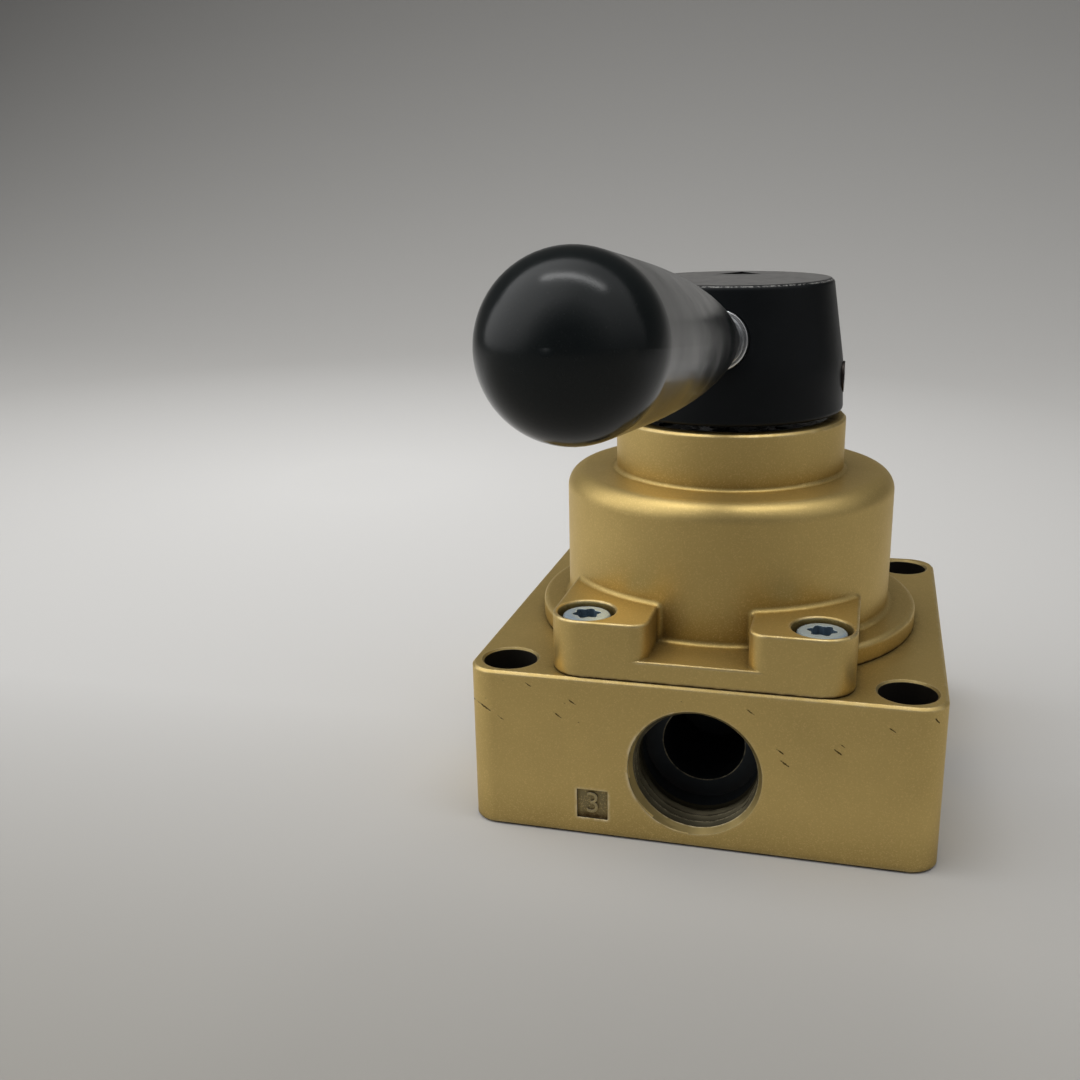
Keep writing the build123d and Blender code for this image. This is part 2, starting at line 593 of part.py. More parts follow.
def knob_cap():
    """Moulded knob: skirt, hub on the stem, two ball bosses, a grub boss and the lever's hole."""
    knob = revolve(Plane.XZ * knob_outline(), axis=Axis.Z)
    cavity = tube(KNOB_BASE_RADIUS - KNOB_WALL, HUB_RADIUS, KNOB_BOTTOM, KNOB_ROOF)
    boss_radius = BALL_POCKET_RADIUS + BALL_BOSS_WALL
    for angle in BALL_ANGLES:
        cavity -= post(*on_circle(DETENT_CIRCLE, angle), boss_radius, KNOB_BOTTOM, KNOB_ROOF)
    rib_width = 2 * (GRUB_RADIUS + GRUB_BOSS_WALL)
    rib = Box(KNOB_BASE_RADIUS, rib_width, KNOB_CAVITY_HEIGHT)
    cavity -= Pos(KNOB_BASE_RADIUS / 2, 0, (KNOB_BOTTOM + KNOB_ROOF) / 2) * rib
    knob -= cavity

    knob -= cylinder(JOURNAL_RADIUS + SHAFT_GAP, KNOB_BOTTOM, STEM_TOP)
    for angle in BALL_ANGLES:
        x, y = on_circle(DETENT_CIRCLE, angle)
        knob -= post(x, y, BALL_POCKET_RADIUS, KNOB_BOTTOM, BALL_POCKET_TOP)
    grub_hole = cylinder(GRUB_RADIUS + SHAFT_GAP, 0, 2 * KNOB_BASE_RADIUS)
    knob -= Pos(0, 0, GRUB_LEVEL) * Rot(0, 90, 0) * grub_hole
    knob -= along_lever(cylinder(ROD_RADIUS + SHAFT_GAP, 0, 2 * LEVER_EXIT))
    collar_seat = LEVER_EXIT + COLLAR_PROUD - COLLAR_LENGTH
    knob -= along_lever(cylinder(COLLAR_RADIUS + SHAFT_GAP, collar_seat, 2 * LEVER_EXIT))
    return knob


def knob_set_screw():
    """Grub screw in the knob's side; its point bears on the stem's flat."""
    face = KNOB_BASE_RADIUS + (KNOB_WAIST_RADIUS - KNOB_BASE_RADIUS) * GRUB_HEIGHT / KNOB_WAIST_HEIGHT
    outer_end = face + GRUB_PROUD
    screw = cylinder(GRUB_RADIUS, STEM_FLAT_X, outer_end)
    socket = extrude(RegularPolygon(GRUB_SOCKET_RADIUS, 6), amount=GRUB_SOCKET_DEPTH)
    screw -= Pos(0, 0, outer_end - GRUB_SOCKET_DEPTH) * socket
    return Pos(0, 0, GRUB_LEVEL) * Rot(0, 90, 0) * screw


def lever_rod():
    """Rod from the stem's cross hole, through the knob and collar, into the grip."""
    rod = cylinder(ROD_RADIUS, -ROD_PAST_STEM_AXIS, GRIP_START + ROD_IN_GRIP)
    return along_lever(rod)


def lever_collar():
    """Round lock collar, sunk in the knob's side and standing a little proud."""
    outer_end = LEVER_EXIT + COLLAR_PROUD
    collar = tube(COLLAR_RADIUS, ROD_RADIUS + SHAFT_GAP, outer_end - COLLAR_LENGTH, outer_end)
    return along_lever(collar)


def lever_grip():
    """Taper grip: one long arc from the mouth to a short cylinder, ended by a half ball."""
    tip = GRIP_START + GRIP_LENGTH
    ball_centre = tip - GRIP_RADIUS
    taper_end = ball_centre - GRIP_CYLINDER
    rise = GRIP_RADIUS - GRIP_SMALL_RADIUS
    run = taper_end - GRIP_START
    arc_radius = (run**2 + rise**2) / (2 * rise)
    half_turn = asin(run / arc_radius) / 2
    middle = (
        GRIP_RADIUS - arc_radius + arc_radius * cos(half_turn),
        taper_end - arc_radius * sin(half_turn),
    )
    bore_radius = ROD_RADIUS + SHAFT_GAP
    side = ThreePointArc((GRIP_SMALL_RADIUS, GRIP_START), middle, (GRIP_RADIUS, taper_end))
    straight = Line((GRIP_RADIUS, taper_end), (GRIP_RADIUS, ball_centre))
    nose = RadiusArc((GRIP_RADIUS, ball_centre), (0, tip), -GRIP_RADIUS)
    inside = Polyline(
        (0, tip),
        (0, GRIP_START + ROD_IN_GRIP),
        (bore_radius, GRIP_START + ROD_IN_GRIP),
        (bore_radius, GRIP_START),
        (GRIP_SMALL_RADIUS, GRIP_START),
    )
    face = make_face(Curve() + [side, straight, nose, inside])
    mouth = face.vertices().sort_by(Axis.Y)[:2].sort_by(Axis.X)[-1]
    face = fillet(mouth, GRIP_MOUTH_RADIUS)
    return along_lever(revolve(Plane.XZ * face, axis=Axis.Z))


def detent_balls():
    """Two steel balls under their springs, just clear of the plate between the notches."""
    points = [on_circle(DETENT_CIRCLE, angle) for angle in BALL_ANGLES]
    return [Pos(x, y, BALL_HEIGHT) * Sphere(BALL_RADIUS) for x, y in points]


def detent_springs():
    """Two small coil springs in the knob's ball pockets."""
    low = BALL_HEIGHT + BALL_RADIUS
    spring = coil(BALL_SPRING_RADIUS, BALL_SPRING_WIRE, low, BALL_POCKET_TOP, BALL_SPRING_TURNS)
    return [Pos(*on_circle(DETENT_CIRCLE, angle), 0) * spring for angle in BALL_ANGLES]


PIECES = [
    valve_body,
    bonnet,
    cover_screws,
    spring_washers,
    bonnet_o_ring,
    seat_plate,
    port_seals,
    seat_pins,
    stem_bush,
    detent_plate,
    detent_plate_pins,
    stem,
    rotary_disc,
    drive_pins,
    disc_spring,
    thrust_washer,
    stem_seals,
    knob_cap,
    knob_set_screw,
    lever_rod,
    lever_collar,
    lever_grip,
    detent_balls,
    detent_springs,
]

os.makedirs("parts", exist_ok=True)
for build_piece in PIECES:
    shape = build_piece()
    if isinstance(shape, list):
        shape = Compound(children=[Solid(one.solids()[0].wrapped) for one in shape])
    export_step(shape, f"parts/{build_piece.__name__}.step")
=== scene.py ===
import json
from math import cos, hypot, pi, radians, sin

import bmesh
import bpy
from mathutils import Matrix, Vector


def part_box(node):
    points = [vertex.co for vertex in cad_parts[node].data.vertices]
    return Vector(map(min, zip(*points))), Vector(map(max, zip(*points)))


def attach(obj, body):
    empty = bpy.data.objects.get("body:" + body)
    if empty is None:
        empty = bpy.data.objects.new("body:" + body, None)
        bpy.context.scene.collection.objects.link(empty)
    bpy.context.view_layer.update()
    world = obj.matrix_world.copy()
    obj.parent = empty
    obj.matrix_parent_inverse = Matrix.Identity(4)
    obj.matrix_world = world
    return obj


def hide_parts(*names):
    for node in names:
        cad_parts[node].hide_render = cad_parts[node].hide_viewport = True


# Hand lever air valve, put together from the square block up to the lever's grip.
# Everything is in metres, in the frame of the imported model.
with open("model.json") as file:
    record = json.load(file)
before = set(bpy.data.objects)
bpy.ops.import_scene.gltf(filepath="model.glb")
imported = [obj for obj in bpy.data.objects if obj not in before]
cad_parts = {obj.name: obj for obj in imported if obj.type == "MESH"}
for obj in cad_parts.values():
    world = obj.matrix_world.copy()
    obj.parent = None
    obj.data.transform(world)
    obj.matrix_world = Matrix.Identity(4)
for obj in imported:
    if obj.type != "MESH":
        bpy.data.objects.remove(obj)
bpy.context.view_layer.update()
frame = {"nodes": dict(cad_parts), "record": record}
node = frame["nodes"]
MM = 0.001


# ------------------------------------------------------------ square valve block
# A die-cast block, machined on its faces and sprayed with gold lacquer. The holes and
# the four G 1/2 threads are cut after the spraying, so inside they are bare metal.
THREAD_PITCH = 1.814 * MM
THREAD_CREST = 9.27 * MM
THREAD_DEPTH = 1.08 * MM
THREAD_LENGTH = 8.0 * MM
THREAD_FADE = 0.1 * MM  # over which the ridge grows from nothing
RIDGE_PEAK = 1.15  # over 1, so that each ridge is flat on top
RIDGE_FALL = 2.6  # down its flanks, for each turn away from the ridge
TAP_OUTSIDE = 1.5 * MM  # how far the cutting tap stands out of the block
PORT_RIM = 0.95 * MM
HOLE_RIM = 0.35 * MM
RECESS_WALL = 2 * MM
POCKET_DEPTH = 0.40 * MM
POCKET_NEAR = 10 * MM
POCKET_FAR = 21 * MM
POCKET_TOP = 9 * MM
HAIR = 0.01 * MM  # tells a face on a limit from its neighbours
LACQUER = (0.640, 0.468, 0.172)
LACQUER_GLINT = (0.850, 0.640, 0.280)
# Next: worn metal on rims, also a painted highlight; then dirt in corners, also painted shade.
RUBBED_METAL_AND_HIGHLIGHT = (0.840, 0.720, 0.460)
CORNER_DIRT_AND_SHADE = (0.040, 0.024, 0.010)
NICK_BROWN = (0.065, 0.034, 0.010)
RIM_METAL = (0.300, 0.225, 0.085)
THREAD_METAL = (0.085, 0.073, 0.042)
# Oily bored metal, painted far darker as shade inside the bores.
BORE_METAL_IN_PAINTED_SHADE = (0.045, 0.052, 0.058)
POCKET_LACQUER = (0.250, 0.208, 0.112)
# Painted shade: the lacquer's colour in hollows.
LACQUER_IN_PAINTED_SHADE = (0.290, 0.200, 0.058)
# Oily metal of the fixing holes, painted near black as shade.
HOLE_METAL_IN_PAINTED_SHADE = (0.030, 0.026, 0.020)
# Painted shade on the pocket's walls and the figures' sides.
POCKET_WALL_SHADE = (0.10, 0.07, 0.035)
NICK_SPACING = 6.0 * MM
NICK_SLIMNESS = 5.5
NICK_SLANT = radians(35)


def show(name, data):
    """Put a mesh, curve, lamp or camera in the scene as a new object at the frame's origin."""
    made = bpy.data.objects.new(name, data)
    bpy.context.scene.collection.objects.link(made)
    return made


def thread_ridge(turns):
    """Height of a V thread's ridge, 0 to 1 and cut off flat there, at a place counted in turns."""
    to_crest = abs(turns % 1.0 - 0.5)
    return max(0.0, min(1.0, RIDGE_PEAK - RIDGE_FALL * to_crest))


def threaded(base, height, start, end, pitch, fade, per_pitch=9):
    """Outline points of a threaded stretch: radius, level and ridge height at that level."""
    count = int((end - start) / pitch * per_pitch)
    levels = [start + (end - start) * step / count for step in range(count + 1)]
    return [
        (base, level, height * min(1.0, (level - start) / fade[0], (end - level) / fade[1]))
        for level in levels
    ]


def turned(name, outline, pitch=1.0, around=64, tube=False):
    """Solid of revolution along +Z. A tube's outline is a closed loop about its wall."""
    points, faces = [], []
    for radius, level, *ridge in outline:
        for step in range(around):
            share = step / around
            lift = ridge[0] * thread_ridge(level / pitch - share) if ridge else 0.0
            angle = 2 * pi * share
            points.append(((radius + lift) * cos(angle), (radius + lift) * sin(angle), level))
    rings = len(outline)
    for ring in range(rings if tube else rings - 1):
        after = (ring + 1) % rings
        for step in range(around):
            aside = (step + 1) % around
            here, there = ring * around, after * around
            faces.append((here + step, here + aside, there + aside, there + step))
    if not tube:
        faces.append(tuple(reversed(range(around))))
        faces.append(tuple((rings - 1) * around + step for step in range(around)))
    mesh = bpy.data.meshes.new(name)
    mesh.from_pydata(points, [], faces)
    return show(name, tidy(mesh))


def tidy(mesh):
    """Weld points that coincide and turn all faces outwards."""
    work = bmesh.new()
    work.from_mesh(mesh)
    bmesh.ops.remove_doubles(work, verts=work.verts, dist=0.0002 * MM)
    bmesh.ops.dissolve_degenerate(work, edges=work.edges, dist=0.0001 * MM)
    bmesh.ops.recalc_face_normals(work, faces=work.faces)
    work.to_mesh(mesh)
    work.free()
    return mesh


def copy_of(cad_name, piece):
    """A CAD node's shape as a new piece, welded so that it can be worked further."""
    mesh = node[cad_name].data.copy()
    if mesh.has_custom_normals:
        mesh.attributes.remove(mesh.attributes["custom_normal"])
    mesh.materials.clear()
    return show(piece, tidy(mesh))


def cut(piece, tool):
    """Take the tool's solid out of the piece, and use up the tool."""
    bite = piece.modifiers.new("cut", "BOOLEAN")
    bite.object = tool
    bite.solver = "EXACT"
    bpy.context.view_layer.update()
    depsgraph = bpy.context.evaluated_depsgraph_get()
    finished = bpy.data.meshes.new_from_object(piece.evaluated_get(depsgraph))
    piece.modifiers.clear()
    piece.data = finished
    bpy.data.objects.remove(tool)


def smooth(piece, sharpest=28):
    """Shade curves smoothly, keep flat faces flat and keep corners above an angle crisp."""
    piece.data.shade_smooth()
    piece.data.set_sharp_from_angle(angle=radians(sharpest))
    weigh = piece.modifiers.new("weigh", "WEIGHTED_NORMAL")
    weigh.keep_sharp = True


def paint_faces(piece, finish_at, finishes):
    """Give each face the finish whose number finish_at returns for the face's middle."""
    piece.data.materials.clear()
    for finish in finishes:
        piece.data.materials.append(finish)
    for face in piece.data.polygons:
        face.material_index = finish_at(face.center)


# -- the finishes' shared effects, each a node group --
def put(tree, kind, feeds={}, **choices):
    """Add a shader node, make its choices, and feed its inputs from values or outputs."""
    made = tree.nodes.new("ShaderNode" + kind)
    for choice, value in choices.items():
        setattr(made, choice, value)
    for socket, value in feeds.items():
        if isinstance(value, bpy.types.NodeSocket):
            tree.links.new(value, made.inputs[socket])
        else:
            made.inputs[socket].default_value = value
    return made


def math(tree, operation, first, second=0.0):
    """One sum or comparison on two values or outputs."""
    return put(tree, "Math", {0: first, 1: second}, operation=operation).outputs[0]


def stretch(tree, value, low, high, to_low=0.0, to_high=1.0):
    """Spread a value's range from low..high over to_low..to_high, and stop at the ends."""
    feeds = {"Value": value, "From Min": low, "From Max": high, "To Min": to_low, "To Max": to_high}
    return put(tree, "MapRange", feeds).outputs["Result"]


def blend(tree, share, first, second):
    """Mix two colours by a share of the second."""
    feeds = {0: share}
    for socket, colour in ((6, first), (7, second)):
        is_output = isinstance(colour, bpy.types.NodeSocket)
        feeds[socket] = colour if is_output else (*colour, 1.0)
    return put(tree, "Mix", feeds, data_type="RGBA").outputs[2]


def effect(name, takes, gives):
    """Start a node group. Returns its tree, what it takes and what it gives, by name."""
    tree = bpy.data.node_groups.new(name, "ShaderNodeTree")
    for socket, value in takes.items():
        made = tree.interface.new_socket(socket, in_out="INPUT", socket_type="NodeSocketFloat")
        made.default_value = value
    for socket, kind in gives.items():
        tree.interface.new_socket(socket, in_out="OUTPUT", socket_type="NodeSocket" + kind)
    return tree, tree.nodes.new("NodeGroupInput").outputs, tree.nodes.new("NodeGroupOutput").inputs


def use(tree, group, **values):
    """Place an effect in a material with its own values. Returns its outputs."""
    feeds = {socket.replace("_", " "): value for socket, value in values.items()}
    return put(tree, "Group", feeds, node_tree=group).outputs


def place(tree):
    """The piece's own coordinates, in metres."""
    return put(tree, "TexCoord").outputs["Object"]


def axes_of(tree, vector):
    """A vector's parts, by the names X, Y and Z."""
    return put(tree, "SeparateXYZ", {"Vector": vector}).outputs


def noise(tree, size, detail=2.0, roughness=0.5, vector=None):
    """Cloudy noise, 0 to 1, whose patches are about as wide as size."""
    scale = math(tree, "DIVIDE", 1.0, size)
    feeds = {"Vector": vector or place(tree), "Scale": scale, "Detail": detail, "Roughness": roughness}
    return put(tree, "TexNoise", feeds).outputs["Fac"]


def edge_wear_and_light():
    """Masks of rubbed outer edges that also carry a painted highlight, of inner corners darkened by dirt
    and painted shade, and the normal of a rounded edge.
    """
    tree, takes, gives = effect(
        "edge wear and painted light",
        {"Width": 0.5 * MM, "Breakup": 1.2 * MM, "Reach": 2.0 * MM},
        {"Rubbed and highlit": "Float", "Dirt and shade": "Float", "Rounded": "Vector"},
    )
    feeds = {"Distance": takes["Width"]}
    # Outer edges: worn lacquer, and also a painted highlight along each rim.
    inside = put(tree, "AmbientOcclusion", feeds, inside=True, only_local=True, samples=6)
    open_edge = stretch(tree, inside.outputs["AO"], 0.94, 0.68)
    patches = stretch(tree, noise(tree, takes["Breakup"], 3.0), 0.34, 0.60, 0.15, 1.0)
    # Inner corners: dirt, and also painted shade.
    outside = put(tree, "AmbientOcclusion", {"Distance": takes["Reach"]}, samples=6)
    corner = stretch(tree, outside.outputs["AO"], 0.82, 0.30)
    dirt_and_shade_patches = stretch(tree, noise(tree, takes["Reach"], 3.0), 0.30, 0.62, 0.35, 1.0)
    half = math(tree, "MULTIPLY", takes["Width"], 0.6)
    bevel = put(tree, "Bevel", {"Radius": half}, samples=5)
    tree.links.new(math(tree, "MULTIPLY", open_edge, patches), gives["Rubbed and highlit"])
    tree.links.new(math(tree, "MULTIPLY", corner, dirt_and_shade_patches), gives["Dirt and shade"])
    tree.links.new(bevel.outputs["Normal"], gives["Rounded"])
    return tree


def cast_skin():
    """Fine grain of a cast and sprayed face: its height, and the share of glinting flakes."""
    tree, takes, gives = effect(
        "cast skin", {"Grain": 0.3 * MM, "Flake": 0.12 * MM}, {"Height": "Float", "Glint": "Float"}
    )
    coarse = noise(tree, takes["Grain"], 3.0, 0.6)
    size = math(tree, "DIVIDE", 1.0, takes["Flake"])
    flakes = put(tree, "TexVoronoi", {"Vector": place(tree), "Scale": size})
    bright = put(tree, "SeparateColor", {"Color": flakes.outputs["Color"]}).outputs["Red"]
    tree.links.new(coarse, gives["Height"])
    tree.links.new(stretch(tree, bright, 0.72, 1.0), gives["Glint"])
    return tree


def nicks():
    """Short slanting nicks where an upright face was knocked: a mask, scattered, mostly absent."""
    tree, takes, gives = effect("nicks", {"Spacing": NICK_SPACING, "Share": 0.2}, {"Nick": "Float"})
    axes = axes_of(tree, place(tree))
    sideways = math(tree, "ADD", axes["X"], axes["Y"])
    flat = put(tree, "CombineXYZ", {"X": sideways, "Y": axes["Z"]}).outputs[0]
    slanted = put(tree, "Mapping", {"Vector": flat, "Rotation": (0.0, 0.0, NICK_SLANT)}).outputs[0]
    slim = put(tree, "Mapping", {"Vector": slanted, "Scale": (1.0, NICK_SLIMNESS, 1.0)}).outputs[0]
    feeds = {"Vector": slim, "Scale": math(tree, "DIVIDE", 1.0, takes["Spacing"])}
    cells = put(tree, "TexVoronoi", feeds, voronoi_dimensions="2D")
    chosen = put(tree, "SeparateColor", {"Color": cells.outputs["Color"]}).outputs["Green"]
    present = math(tree, "LESS_THAN", chosen, takes["Share"])
    facing = axes_of(tree, put(tree, "NewGeometry").outputs["True Normal"])["Z"]
    upright = math(tree, "LESS_THAN", math(tree, "ABSOLUTE", facing), 0.5)
    ragged = math(tree, "MULTIPLY", noise(tree, 0.35 * MM, 4.0), 0.26)
    ragged = math(tree, "SUBTRACT", ragged, 0.04)
    smaller = math(tree, "MULTIPLY", chosen, 0.50)
    spread = math(tree, "ADD", math(tree, "ADD", cells.outputs["Distance"], ragged), smaller)
    near = math(tree, "MULTIPLY", stretch(tree, spread, 0.24, 0.19), upright)
    tree.links.new(math(tree, "MULTIPLY", near, present), gives["Nick"])
    return tree


def smears():
    """Broad soft patches, as left by fingers and oil, 0 to 1."""
    tree, takes, gives = effect("smears", {"Size": 14.0 * MM}, {"Smear": "Float"})
    cloud = noise(tree, takes["Size"], 4.0, 0.55)
    tree.links.new(stretch(tree, cloud, 0.35, 0.68), gives["Smear"])
    return tree


EDGE_WEAR_AND_LIGHT, CAST_SKIN, NICKS, SMEARS = edge_wear_and_light(), cast_skin(), nicks(), smears()


def finish(name, **fixed):
    """A new material. Returns it, its tree and its surface node with the fixed values set."""
    made = bpy.data.materials.new(name)
    made.use_nodes = True
    surface = made.node_tree.nodes["Principled BSDF"]
    for socket, value in fixed.items():
        surface.inputs[socket.replace("_", " ")].default_value = value
    return made, made.node_tree, surface


def feed(tree, surface, **outputs):
    """Link outputs to the surface node's inputs."""
    for socket, output in outputs.items():
        tree.links.new(output, surface.inputs[socket.replace("_", " ")])


def bump(tree, height, depth, normal):
    """Normal of a surface raised by depth metres where height is 1."""
    feeds = {"Height": height, "Distance": depth, "Strength": 1.0, "Normal": normal}
    return put(tree, "Bump", feeds).outputs["Normal"]


def gold_lacquer(name, grain, grain_depth, nicked, paint=LACQUER, rim_wear_and_highlight=0.75, grime=()):
    """Gold lacquer over a casting: flakes, grain, nicks, rubbed rims that also carry a painted highlight,
    corners darkened by dirt and painted shade, and painted shade in hollows.

    Nicks are thickest in clusters on the block's upper half. grime is a pair of levels:
    settled dirt is thick at the first and gone at the second.
    """
    made, tree, surface = finish(name, Metallic=0.85, IOR=1.5, Specular_Tint=(1.0, 0.94, 0.78, 1.0))
    wear_and_light = use(tree, EDGE_WEAR_AND_LIGHT, Width=0.55 * MM, Breakup=1.4 * MM, Reach=2.2 * MM)
    skin = use(tree, CAST_SKIN, Grain=grain, Flake=0.16 * MM)
    level = axes_of(tree, place(tree))["Z"]
    upper = math(tree, "ADD", stretch(tree, level, 14 * MM, 22 * MM), 0.04)
    cluster = math(tree, "ADD", stretch(tree, noise(tree, 11 * MM, 1.0), 0.40, 0.56), 0.25)
    likely = math(tree, "MULTIPLY", upper, cluster)
    knock = use(tree, NICKS, Spacing=NICK_SPACING, Share=math(tree, "MULTIPLY", likely, nicked))["Nick"]
    smear = use(tree, SMEARS, Size=16 * MM)["Smear"]
    dull = [0.90 * part for part in paint]
    colour = blend(tree, smear, dull, paint)
    # Painted shade: the lacquer turns deeper and darker in hollows near other surfaces.
    painted_hollow_shade = put(tree, "AmbientOcclusion", {"Distance": 9 * MM}, samples=6).outputs["AO"]
    colour = blend(tree, stretch(tree, painted_hollow_shade, 0.92, 0.45, 0.0, 0.60), colour, LACQUER_IN_PAINTED_SHADE)
    colour = blend(tree, math(tree, "MULTIPLY", skin["Glint"], 0.34), colour, LACQUER_GLINT)
    # Worn rims, also a painted highlight; then corners darkened by dirt and painted shade.
    colour = blend(tree, math(tree, "MULTIPLY", wear_and_light["Rubbed and highlit"], rim_wear_and_highlight), colour, RUBBED_METAL_AND_HIGHLIGHT)
    colour = blend(tree, math(tree, "MULTIPLY", wear_and_light["Dirt and shade"], 0.85), colour, CORNER_DIRT_AND_SHADE)
    colour = blend(tree, math(tree, "MULTIPLY", knock, 0.90), colour, NICK_BROWN)
    if grime:
        patchy = stretch(tree, noise(tree, 1.2 * MM, 3.0), 0.30, 0.62, 0.35, 0.95)
        settled = math(tree, "MULTIPLY", stretch(tree, level, grime[1], grime[0]), patchy)
        colour = blend(tree, settled, colour, NICK_BROWN)
    rough = stretch(tree, smear, 0.0, 1.0, 0.46, 0.40)
    rough = math(tree, "SUBTRACT", rough, math(tree, "MULTIPLY", wear_and_light["Rubbed and highlit"], 0.14))
    rough = math(tree, "ADD", rough, math(tree, "MULTIPLY", wear_and_light["Dirt and shade"], 0.25))
    relief = bump(tree, skin["Height"], grain_depth, wear_and_light["Rounded"])
    relief = bump(tree, math(tree, "SUBTRACT", 1.0, knock), 0.12 * MM, relief)
    feed(tree, surface, Base_Color=colour, Roughness=rough, Normal=relief)
    return made


def bare_metal(name, colour, roughness, dirt_and_shade, reach=3.0 * MM):
    """Metal as the tool left it, darkened in its corners by oil, swarf and painted shade, with rims
    lightened by wear and a painted highlight.
    """
    made, tree, surface = finish(name, Metallic=0.75)
    wear_and_light = use(tree, EDGE_WEAR_AND_LIGHT, Width=0.22 * MM, Breakup=0.6 * MM, Reach=reach)
    smear = use(tree, SMEARS, Size=5 * MM)["Smear"]
    shade = blend(tree, math(tree, "MULTIPLY", smear, 0.5), colour, [0.6 * part for part in colour])
    # Corners: dirt and painted shade; rims: wear and a painted highlight.
    shade = blend(tree, math(tree, "MULTIPLY", wear_and_light["Dirt and shade"], dirt_and_shade), shade, CORNER_DIRT_AND_SHADE)
    shade = blend(tree, math(tree, "MULTIPLY", wear_and_light["Rubbed and highlit"], 0.5), shade, RUBBED_METAL_AND_HIGHLIGHT)
    rough = stretch(tree, smear, 0.0, 1.0, roughness, roughness + 0.15)
    relief = bump(tree, noise(tree, 0.25 * MM, 3.0), 0.008 * MM, wear_and_light["Rounded"])
    feed(tree, surface, Base_Color=shade, Roughness=rough, Normal=relief)
    return made


block_low, block_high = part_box("valve_body")
half_width, block_top = block_high.x, block_high.z
mounts = {mount["name"]: mount for mount in frame["record"]["mounts"]}
ports = [mounts["port_" + side] for side in ("front", "right", "back", "left")]
port_height = ports[0]["pos_m"][2]
hole_spacing = mounts["fixing_holes"]["dims"]["spacing_x_mm"] * MM / 2
hole_radius = mounts["fixing_holes"]["dims"]["hole_r_mm"] * MM

block = copy_of("valve_body", "valve_block")
for quarter in range(len(ports)):
    tap_end = TAP_OUTSIDE + THREAD_LENGTH
    fades = (THREAD_FADE, 2.5 * THREAD_PITCH)
    flutes = threaded(THREAD_CREST, THREAD_DEPTH, 0.0, tap_end, THREAD_PITCH, fades)
    tap = turned("port_tap", flutes, THREAD_PITCH, around=96)
    tap.data.transform(
        Matrix.Rotation(quarter * pi / 2, 4, "Z")
        @ Matrix.Translation((0, -half_width - TAP_OUTSIDE, port_height))
        @ Matrix.Rotation(-pi / 2, 4, "X")
    )
    cut(block, tap)


def block_finish(middle):
    """0 lacquer, 1 bore or recess, 2 fixing hole, 3 thread, 4 pocket floor, 5 its wall, 6 cut rim."""
    across, depth = sorted((abs(middle.x), abs(middle.y)))
    from_port = hypot(across, middle.z - port_height)
    from_hole = hypot(abs(middle.x) - hole_spacing, abs(middle.y) - hole_spacing)
    if from_hole < hole_radius + 2 * HAIR:
        return 2
    if from_hole < hole_radius + HOLE_RIM and block_low.z + 2 * HAIR < middle.z < block_top - 2 * HAIR:
        return 6
    if depth < half_width - PORT_RIM and from_port < THREAD_CREST + THREAD_DEPTH + 10 * HAIR:
        in_thread = depth > half_width - THREAD_LENGTH and from_port > THREAD_CREST - 10 * HAIR
        return 3 if in_thread else 1
    below_rim = half_width - PORT_RIM - HAIR
    if below_rim < depth < half_width - 2 * HAIR and from_port < THREAD_CREST + PORT_RIM:
        return 6
    pocket_floor_depth = half_width - POCKET_DEPTH
    if pocket_floor_depth - HAIR < depth < half_width - 5 * HAIR and middle.z < POCKET_TOP:
        if POCKET_NEAR < across < POCKET_FAR:
            return 4 if depth < pocket_floor_depth + HAIR else 5
    if RECESS_WALL < middle.z < block_top - 5 * HAIR and max(across, depth) < half_width - RECESS_WALL:
        return 1
    return 0


lacquer_on_block = gold_lacquer("gold lacquer, block", 0.30 * MM, 0.014 * MM, 0.25)
# Bores and fixing holes: oily metal painted dark as shade.
bore_metal = bare_metal("oily bored metal in painted shade", BORE_METAL_IN_PAINTED_SHADE, 0.45, 0.5)
hole_metal = bare_metal("oily hole wall in painted shade", HOLE_METAL_IN_PAINTED_SHADE, 0.55, 1.0)
thread_metal = bare_metal("tapped thread", THREAD_METAL, 0.34, 1.0, 0.9 * MM)
rim_metal = bare_metal("cut rim", RIM_METAL, 0.42, 0.7, 1.5 * MM)
pocket_floor = gold_lacquer(
    "gold lacquer, pocket", 0.30 * MM, 0.014 * MM, 0.0, POCKET_LACQUER, 0.2, (3.2 * MM, 4.2 * MM)
)
# The pocket's walls and the figures' sides are painted dark as shade.
pocket_wall = bare_metal("pocket wall in painted shade", POCKET_WALL_SHADE, 0.6, 1.0)
paint_faces(
    block,
    block_finish,
    [lacquer_on_block, bore_metal, hole_metal, thread_metal, pocket_floor, pocket_wall, rim_metal],
)
smooth(block)
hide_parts("valve_body")
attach(block, "housing")


# ------------------------------------------------------------ port numbers
# Each port has its number cast proud on the floor of the small square pocket beside it:
# 1 supply, 2 and 4 outlets, 3 exhaust. They are part of the block's casting.
PORT_NUMBERS = ("3", "2", "1", "4")
NUMBER_SIZE = 5.0 * MM
NUMBER_RELIEF = 0.26 * MM
FIGURE_LACQUER = (0.420, 0.350, 0.190)
POCKET_ACROSS = -15.8 * MM
POCKET_HEIGHT = 5.4 * MM


def gather(name, meshes):
    """One piece from several meshes that are already in place."""
    work = bmesh.new()
    for mesh in meshes:
        work.from_mesh(mesh)
    whole = bpy.data.meshes.new(name)
    work.to_mesh(whole)
    work.free()
    return show(name, whole)


